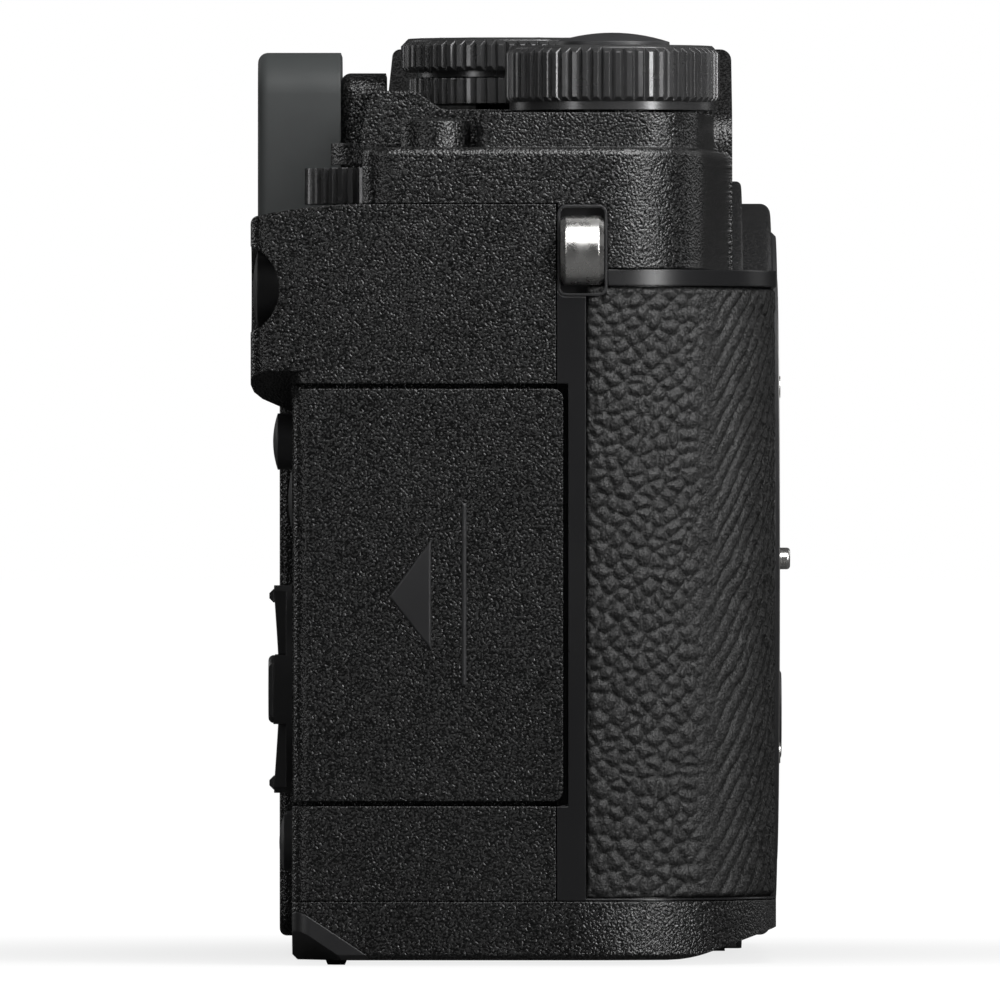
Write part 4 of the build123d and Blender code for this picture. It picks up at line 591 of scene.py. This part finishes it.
def cellPattern(tree, along, high, up, flatPlace):
    # where each point lies among the cells, as row run, row rise and share of ridge
    size = leatherSkins
    beyond = tree.minus(along, tree.input("Vertex"))
    fold = tree.math("ABSOLUTE", beyond)
    level, steep = [tree.math(name, tree.input("Row angle")) for name in ("COSINE", "SINE")]
    rowRun = tree.plus(tree.times(fold, level), tree.times(high, steep))
    rowRise = tree.minus(tree.times(high, level), tree.times(fold, steep))
    begun = tree.ramp(beyond, size["ridgeStart"], size["ridgeRise"], 0.0, 1.0, True)
    faded = size["ridgeEnd"] + size["ridgeFade"]
    lasting = tree.ramp(along, size["ridgeEnd"], faded, 1.0, 0.0, True)
    ridged = tree.times(tree.times(begun, lasting), tree.input("Ridge share"))
    growth = tree.times(tree.minus(0.5, up), tree.input("Growth"))
    cell = tree.plus(tree.input("Cell"), growth)
    stray = tree.vectorMath("SUBTRACT", tree.noise(flatPlace, size["wanderScale"])["Color"],
                            (0.5, 0.5, 0.5))
    strayed = tree.scaled(stray, tree.times(tree.input("Wander"), size["wanderReach"]))
    rows = tree.vector(tree.math("DIVIDE", rowRun, cell), tree.math("DIVIDE", rowRise, cell), 0.0)
    spot = tree.parts(tree.vectorMath("ADD", rows, strayed))
    return tree.vector(spot[0], spot[1], ridged), spot[1], ridged


def skinRelief(tree, cellPlace, rowPlace, ridged, flatPlace):
    # 0 in the cracks and 1 on the highest cells
    size = leatherSkins
    edge = tree.cells(cellPlace, "DISTANCE_TO_EDGE")["Distance"]
    own = tree.parts(tree.cells(cellPlace, "F1")["Color"])
    ridge = tree.ridgeDistance(rowPlace)
    toEdge = tree.math("MINIMUM", tree.ramp(ridged, 0.0, 1.0, edge, 0.5),
                       tree.ramp(ridged, 0.0, 1.0, 0.5, ridge))
    wall = tree.ramp(toEdge, 0.0, tree.input("Crack reach"), 0.0, 1.0 - size["dome"], True)
    dome = tree.ramp(toEdge, 0.0, size["domeReach"], 0.0, size["dome"])
    swell = tree.times(tree.plus(wall, dome), tree.ramp(own[0], 0.0, 1.0, size["lowestCell"], 1.0))
    lumps = tree.noise(flatPlace, size["lumpScale"])["Fac"]
    swell = tree.minus(swell, tree.ramp(lumps, *size["lumpEdges"], size["lumpDrop"], 0.0))
    return tree.math("MAXIMUM", swell, 0.0)


def ontoBody(tree, along, high, depth, turn):
    # a point of the path at that length, raised to its height and sunk inward by the depth
    info = tree.add("GeometryNodeObjectInfo", tree.input("Path"))
    sample = tree.named("GeometryNodeSampleCurve", {
        "Curves": info.outputs["Geometry"], "Length": tree.times(along, mm)},
        mode="LENGTH", use_all_curves=True).outputs
    inward = tree.vectorMath("CROSS_PRODUCT", (0.0, 0.0, turn), sample["Tangent"])
    raised = tree.vector(0.0, 0.0, tree.times(high, mm))
    place = tree.vectorMath("ADD", sample["Position"], raised)
    return tree.vectorMath("ADD", place, tree.scaled(inward, tree.times(depth, mm)))


def leatherTree(path, run, turn, toward, seed):
    size = leatherSkins
    tree = NodeTree("leatherRelief" + toward, {
        "Path": path, "Bottom": size["bottom"], "Height": size["top"] - size["bottom"],
        "Ring radius": bodyPlan["bore"], "Ring drop": bodyPlan["lensZ"], "Front run": run,
        "Cell": size["cell"], "Growth": size["cellGrowth"], "Vertex": size["vertex"],
        "Row angle": math.radians(size["rowAngle"]), "Ridge share": size["ridgeShare"],
        "Crack depth": size["crackDepth"], "Crack reach": size["crackReach"],
        "Edge roll": size["edgeRoll"], "Wander": size["wander"], "Seed": float(seed),
        "Finish": finishes["leather"]})
    grid, across, up, high, reach, along = leatherGrid(tree)
    flatPlace = tree.vector(along, high, tree.input("Seed"))
    cellPlace, rowPlace, ridged = cellPattern(tree, along, high, up, flatPlace)
    swell = skinRelief(tree, cellPlace, rowPlace, ridged, flatPlace)
    # the rim rolls in along all four edges
    margin = tree.times(across, reach)
    for other in (tree.times(tree.minus(1.0, across), reach), tree.times(up, tree.input("Height")),
                  tree.times(tree.minus(1.0, up), tree.input("Height"))):
        margin = tree.math("MINIMUM", margin, other)
    swell = tree.times(swell, tree.ramp(margin, 0.0, tree.input("Edge roll"), 0.0, 1.0, True))
    depth = tree.times(tree.minus(1.0, swell), tree.input("Crack depth"))
    skin = tree.moved(grid, ontoBody(tree, along, high, depth, float(turn)))
    # the relief also sets the painted shade of the hollows in the leather's finish
    skin = tree.stored(skin, "relief", swell, "FLOAT")
    skin = tree.stored(skin, "cells", cellPlace, "FLOAT_VECTOR")
    tree.close(tree.add("GeometryNodeSetShadeSmooth", skin).outputs[0])
    return tree


def planPath(name, side):
    # the body's outline around the end and along the front, and its length as far as the lens
    plan = bodyPlan
    radius = plan["endRadius"]
    middleX, middleY = plan["halfWidth"] - radius, plan["frontY"] + radius
    first = math.asin((middleY - plan["startY"]) / radius)
    swept = math.pi / 2 - first
    points = []
    for i in range(plan["arcSteps"] + 1):
        angle = first + swept * i / plan["arcSteps"]
        points.append((side * (middleX + radius * math.cos(angle)),
                       middleY - radius * math.sin(angle)))
    points.append((side * (middleX - radius * plan["frontRun"]), plan["frontY"]))
    curve = bpy.data.curves.new(name, "CURVE")
    curve.dimensions = "3D"
    spline = curve.splines.new("POLY")
    spline.points.add(len(points) - 1)
    for point, (x, y) in zip(spline.points, points):
        point.co = (x * mm, y * mm, 0.0, 1.0)
    path = addObject(name, curve)
    path.hide_render = True
    return path, radius * swept + middleX - side * plan["lensX"]


def closeSheet(piece, turn):
    # rim and back for the skin, whose points run column by column
    size = leatherSkins
    columns, rows, parts = size["columns"], size["rows"], size["backColumns"]
    bm = bmesh.new()
    bm.from_mesh(piece.data)
    front = list(bm.verts)
    backs = {}

    def point(c, r):
        return front[c * rows + r]

    def back(c, r):
        if (c, r) not in backs:
            here = point(c, r).co
            before, after = point(max(c - 1, 0), r).co, point(min(c + 1, columns - 1), r).co
            tangent = Vector((after.x - before.x, after.y - before.y, 0.0)).normalized()
            inward = Vector((0, 0, turn)).cross(tangent)
            backs[(c, r)] = bm.verts.new(here + inward * size["thickness"] * mm)
        return backs[(c, r)]

    loop = [(c, 0) for c in range(columns)] + [(columns - 1, r) for r in range(1, rows)]
    loop += [(c, rows - 1) for c in range(columns - 2, -1, -1)]
    loop += [(0, r) for r in range(rows - 2, 0, -1)]
    for here, there in zip(loop, loop[1:] + loop[:1]):
        bm.faces.new((point(*here), point(*there), back(*there), back(*here)))
    cuts = [round(i * (columns - 1) / parts) for i in range(parts + 1)]
    for start, end in zip(cuts, cuts[1:]):
        ring = [back(c, 0) for c in range(start, end + 1)]
        if end == columns - 1:
            ring += [back(end, r) for r in range(1, rows - 1)]
        ring += [back(c, rows - 1) for c in range(end, start - 1, -1)]
        if start == 0:
            ring += [back(0, r) for r in range(rows - 2, 0, -1)]
        bm.faces.new(ring)
    bmesh.ops.recalc_face_normals(bm, faces=bm.faces)
    bm.to_mesh(piece.data)
    bm.free()


def cutRound(piece, x, z, radius):
    # a round hole through a skin, along Y
    y0, y1 = bodyPlan["frontY"] - holeCut["before"], bodyPlan["frontY"] + holeCut["behind"]
    bm = bmesh.new()
    bmesh.ops.create_cone(bm, cap_ends=True, segments=holeCut["segments"], radius1=radius * mm,
                          radius2=radius * mm, depth=(y1 - y0) * mm)
    bmesh.ops.rotate(bm, verts=bm.verts, matrix=Matrix.Rotation(math.pi / 2, 3, "X"))
    bmesh.ops.translate(bm, verts=bm.verts, vec=(x * mm, (y0 + y1) / 2 * mm, z * mm))
    cutter = pieceFrom("cutter", bm)
    modifier = piece.modifiers.new("hole", "BOOLEAN")
    modifier.object = cutter
    modifier.operation = "DIFFERENCE"
    modifier.solver = "EXACT"
    done = finalMesh(piece)
    piece.modifiers.clear()
    piece.data = done
    bpy.data.objects.remove(cutter)


def layLeather(node, side, seed, hole):
    path, run = planPath(node + "Path", side)
    toward = "Right" if side < 0 else "Left"
    skin = leatherTree(path, run, -side, toward, seed).bake(node + "_skin")
    closeSheet(skin, -side)
    cutRound(skin, *hole)
    bpy.data.objects.remove(path)
    dress(skin, finishes["leather"])
    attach(skin, "camera_body")
    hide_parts(node)


for node, values in skins.items():
    layLeather(node, *values)
print("leather laid")


# Card door: an arrow and a line, raised a little from the paint
doorMarks = {
    "face": -69.65, "rise": 0.11, "slope": 0.14, "sunk": 0.05,
    "marks": {      # corners as y, z
        "door_arrow": ((9.03, 40.6), (9.03, 30.1), (13.04, 35.17)),
        "door_line": ((6.12, 44.1), (5.66, 44.1), (5.66, 26.7), (6.12, 26.7)),
    },
}


def raisedPlate(name, corners):
    size = doorMarks
    bm = bmesh.new()
    outer, inner = [[bm.verts.new((x * mm, y * mm, z * mm)) for y, z in corners]
                    for x in (size["face"], size["face"] + size["sunk"])]
    top = bm.faces.new(outer)
    bm.faces.new(inner[::-1])
    for i in range(len(corners)):
        j = (i + 1) % len(corners)
        bm.faces.new((outer[i], outer[j], inner[j], inner[i]))
    bmesh.ops.recalc_face_normals(bm, faces=bm.faces)
    bmesh.ops.inset_region(bm, faces=[top], thickness=size["slope"] * mm,
                           depth=size["rise"] * mm, use_even_offset=True)
    placed(pieceFrom(name, bm), "card_door_body", finishes["trim_black"])


for name, corners in doorMarks["marks"].items():
    raisedPlate(name, corners)
print("door marks raised")


# What repeats: one head set out on a ring or a grid, facing +Z before it is turned
facings = {"front": math.pi / 2, "below": math.pi, "above": 0.0}
screws = {"head": 1.05, "height": 0.24, "cross": 1.3, "blade": 0.28, "sides": 24}
flangeScrews = {"count": 4, "radius": 25.2, "start": 45.0, "step": 90.0,
                "place": (7.0, -24.76, 37.6)}
baseScrews = {"count": 3, "rows": 2, "width": 54.0, "depth": 28.0, "place": (19.0, 2.0, 0.50)}
contactPins = {"count": 10, "radius": 19.2, "start": -114.0, "step": 5.33,
               "head": 0.55, "height": 0.3, "place": (7.0, -23.54, 37.6)}
dialTicks = {"count": 16, "radius": 8.4, "start": 0.0, "step": 22.5,
             "length": 1.1, "width": 0.3, "height": 0.08, "place": (-31.5, 1.85, 89.0)}


def screwHead(tree):
    cut = tree.add("GeometryNodeMeshBoolean", tree.disc(), operation="DIFFERENCE", solver="EXACT")
    cross, blade, height = [tree.input(name) for name in ("Cross", "Blade", "Head height")]
    lift = tree.vector(0.0, 0.0, tree.times(height, 0.5))
    for wide, high in ((cross, blade), (blade, cross)):
        bar = tree.add("GeometryNodeMeshCube", tree.vector(wide, high, height)).outputs["Mesh"]
        lifted = tree.named("GeometryNodeTransform", {"Geometry": bar, "Translation": lift})
        tree.put(lifted.outputs[0], cut.inputs[1])
    return cut.outputs[0]


def pinHead(tree):
    return tree.disc()


def tickHead(tree):
    size = tree.vector(tree.input("Length"), tree.input("Width"), tree.input("Head height"))
    return tree.add("GeometryNodeMeshCube", size).outputs["Mesh"]


def onGrid(tree):
    grid = tree.add("GeometryNodeMeshGrid", tree.input("Grid width"), tree.input("Grid depth"),
                    tree.input("Count"), tree.input("Rows"))
    return {"Points": grid.outputs["Mesh"]}


def onRing(tree):
    # points at equal angles, each turned to face away from the middle
    line = tree.named("GeometryNodeMeshLine", {"Count": tree.input("Count")}).outputs["Mesh"]
    index = tree.add("GeometryNodeInputIndex").outputs[0]
    angle = tree.plus(tree.input("Start"), tree.times(index, tree.input("Step")))
    x, y = [tree.times(tree.math(name, angle), tree.input("Ring radius"))
            for name in ("COSINE", "SINE")]
    return {"Points": tree.moved(line, tree.vector(x, y, 0.0)),
            "Rotation": tree.vector(0.0, 0.0, angle)}


def ringInputs(size):
    return {"Count": size["count"], "Ring radius": size["radius"] * mm,
            "Start": math.radians(size["start"]), "Step": math.radians(size["step"])}


def setOut(name, head, layout, inputs, facing, place, body, finish):
    tree = NodeTree(name + "Tree", {**inputs, "Finish": finish})
    spread = tree.named("GeometryNodeInstanceOnPoints", {**layout(tree), "Instance": head(tree)})
    turned = tree.named("GeometryNodeTransform", {
        "Geometry": spread.outputs[0], "Rotation": (facings[facing], 0.0, 0.0),
        "Translation": tuple(v * mm for v in place)})
    tree.close(turned.outputs[0])
    placed(tree.bake(name), body, finish)


screwInputs = {"Head radius": screws["head"] * mm, "Head height": screws["height"] * mm,
               "Cross": screws["cross"] * mm, "Blade": screws["blade"] * mm}
setOut("flange_screws", screwHead, onRing, {**screwInputs, **ringInputs(flangeScrews)},
       "front", flangeScrews["place"], "camera_body", finishes["polished_steel"])
setOut("base_screws", screwHead, onGrid,
       {**screwInputs, "Count": baseScrews["count"], "Rows": baseScrews["rows"],
        "Grid width": baseScrews["width"] * mm, "Grid depth": baseScrews["depth"] * mm},
       "below", baseScrews["place"], "camera_body", finishes["trim_black"])
setOut("lens_contacts", pinHead, onRing,
       {"Head radius": contactPins["head"] * mm, "Head height": contactPins["height"] * mm,
        **ringInputs(contactPins)},
       "front", contactPins["place"], "camera_body", inks["gold"])
setOut("dial_ticks", tickHead, onRing,
       {"Length": dialTicks["length"] * mm, "Width": dialTicks["width"] * mm,
        "Head height": dialTicks["height"] * mm, **ringInputs(dialTicks)},
       "above", dialTicks["place"], "mode_dial_body", inks["white"])
print("screws, contacts and ticks set out")


# Figures on the mode dial, and the dot that a lens is lined up with
dialFigures = {"figures": "12345678", "size": 2.3, "height": 0.04, "radius": 6.1, "curve": 3,
               "weld": 1e-7, "place": (-31.5, 1.85, 89.0)}
mountDot = {"radius": 0.9, "taper": 0.9, "height": 0.12, "sides": 32, "place": (7.0, -24.6, 68.9)}


def figureMesh(figure):
    size = dialFigures
    curve = bpy.data.curves.new("figure", "FONT")
    curve.body = figure
    curve.size = size["size"] * mm
    curve.extrude = size["height"] * mm
    curve.align_x = "CENTER"
    curve.align_y = "CENTER"
    curve.resolution_u = size["curve"]
    holder = bpy.data.objects.new("figure", curve)
    mesh = bpy.data.meshes.new_from_object(holder)
    bpy.data.objects.remove(holder)
    return mesh


def figureRing(name):
    # each figure stands with its top outward
    size = dialFigures
    bm = bmesh.new()
    for i, figure in enumerate(size["figures"]):
        angle = 2 * math.pi * i / len(size["figures"])
        out = Vector((math.cos(angle), math.sin(angle), 0.0)) * size["radius"] * mm
        place = Matrix.Translation(Vector(size["place"]) * mm + out)
        mesh = figureMesh(figure)
        mesh.transform(place @ Matrix.Rotation(angle - math.pi / 2, 4, "Z"))
        bm.from_mesh(mesh)
    bmesh.ops.remove_doubles(bm, verts=bm.verts, dist=size["weld"])
    bmesh.ops.recalc_face_normals(bm, faces=bm.faces)
    placed(pieceFrom(name, bm), "mode_dial_body", inks["white"])


def roundDot(name):
    size = mountDot
    bm = bmesh.new()
    turn = Matrix.Translation(Vector(size["place"]) * mm) @ Matrix.Rotation(math.pi / 2, 4, "X")
    bmesh.ops.create_cone(bm, cap_ends=True, segments=size["sides"], radius1=size["radius"] * mm,
                          radius2=size["radius"] * size["taper"] * mm, depth=size["height"] * mm,
                          matrix=turn)
    placed(pieceFrom(name, bm), "camera_body", inks["red"])


figureRing("dial_figures")
roundDot("mount_dot")
print("figures and dot placed")
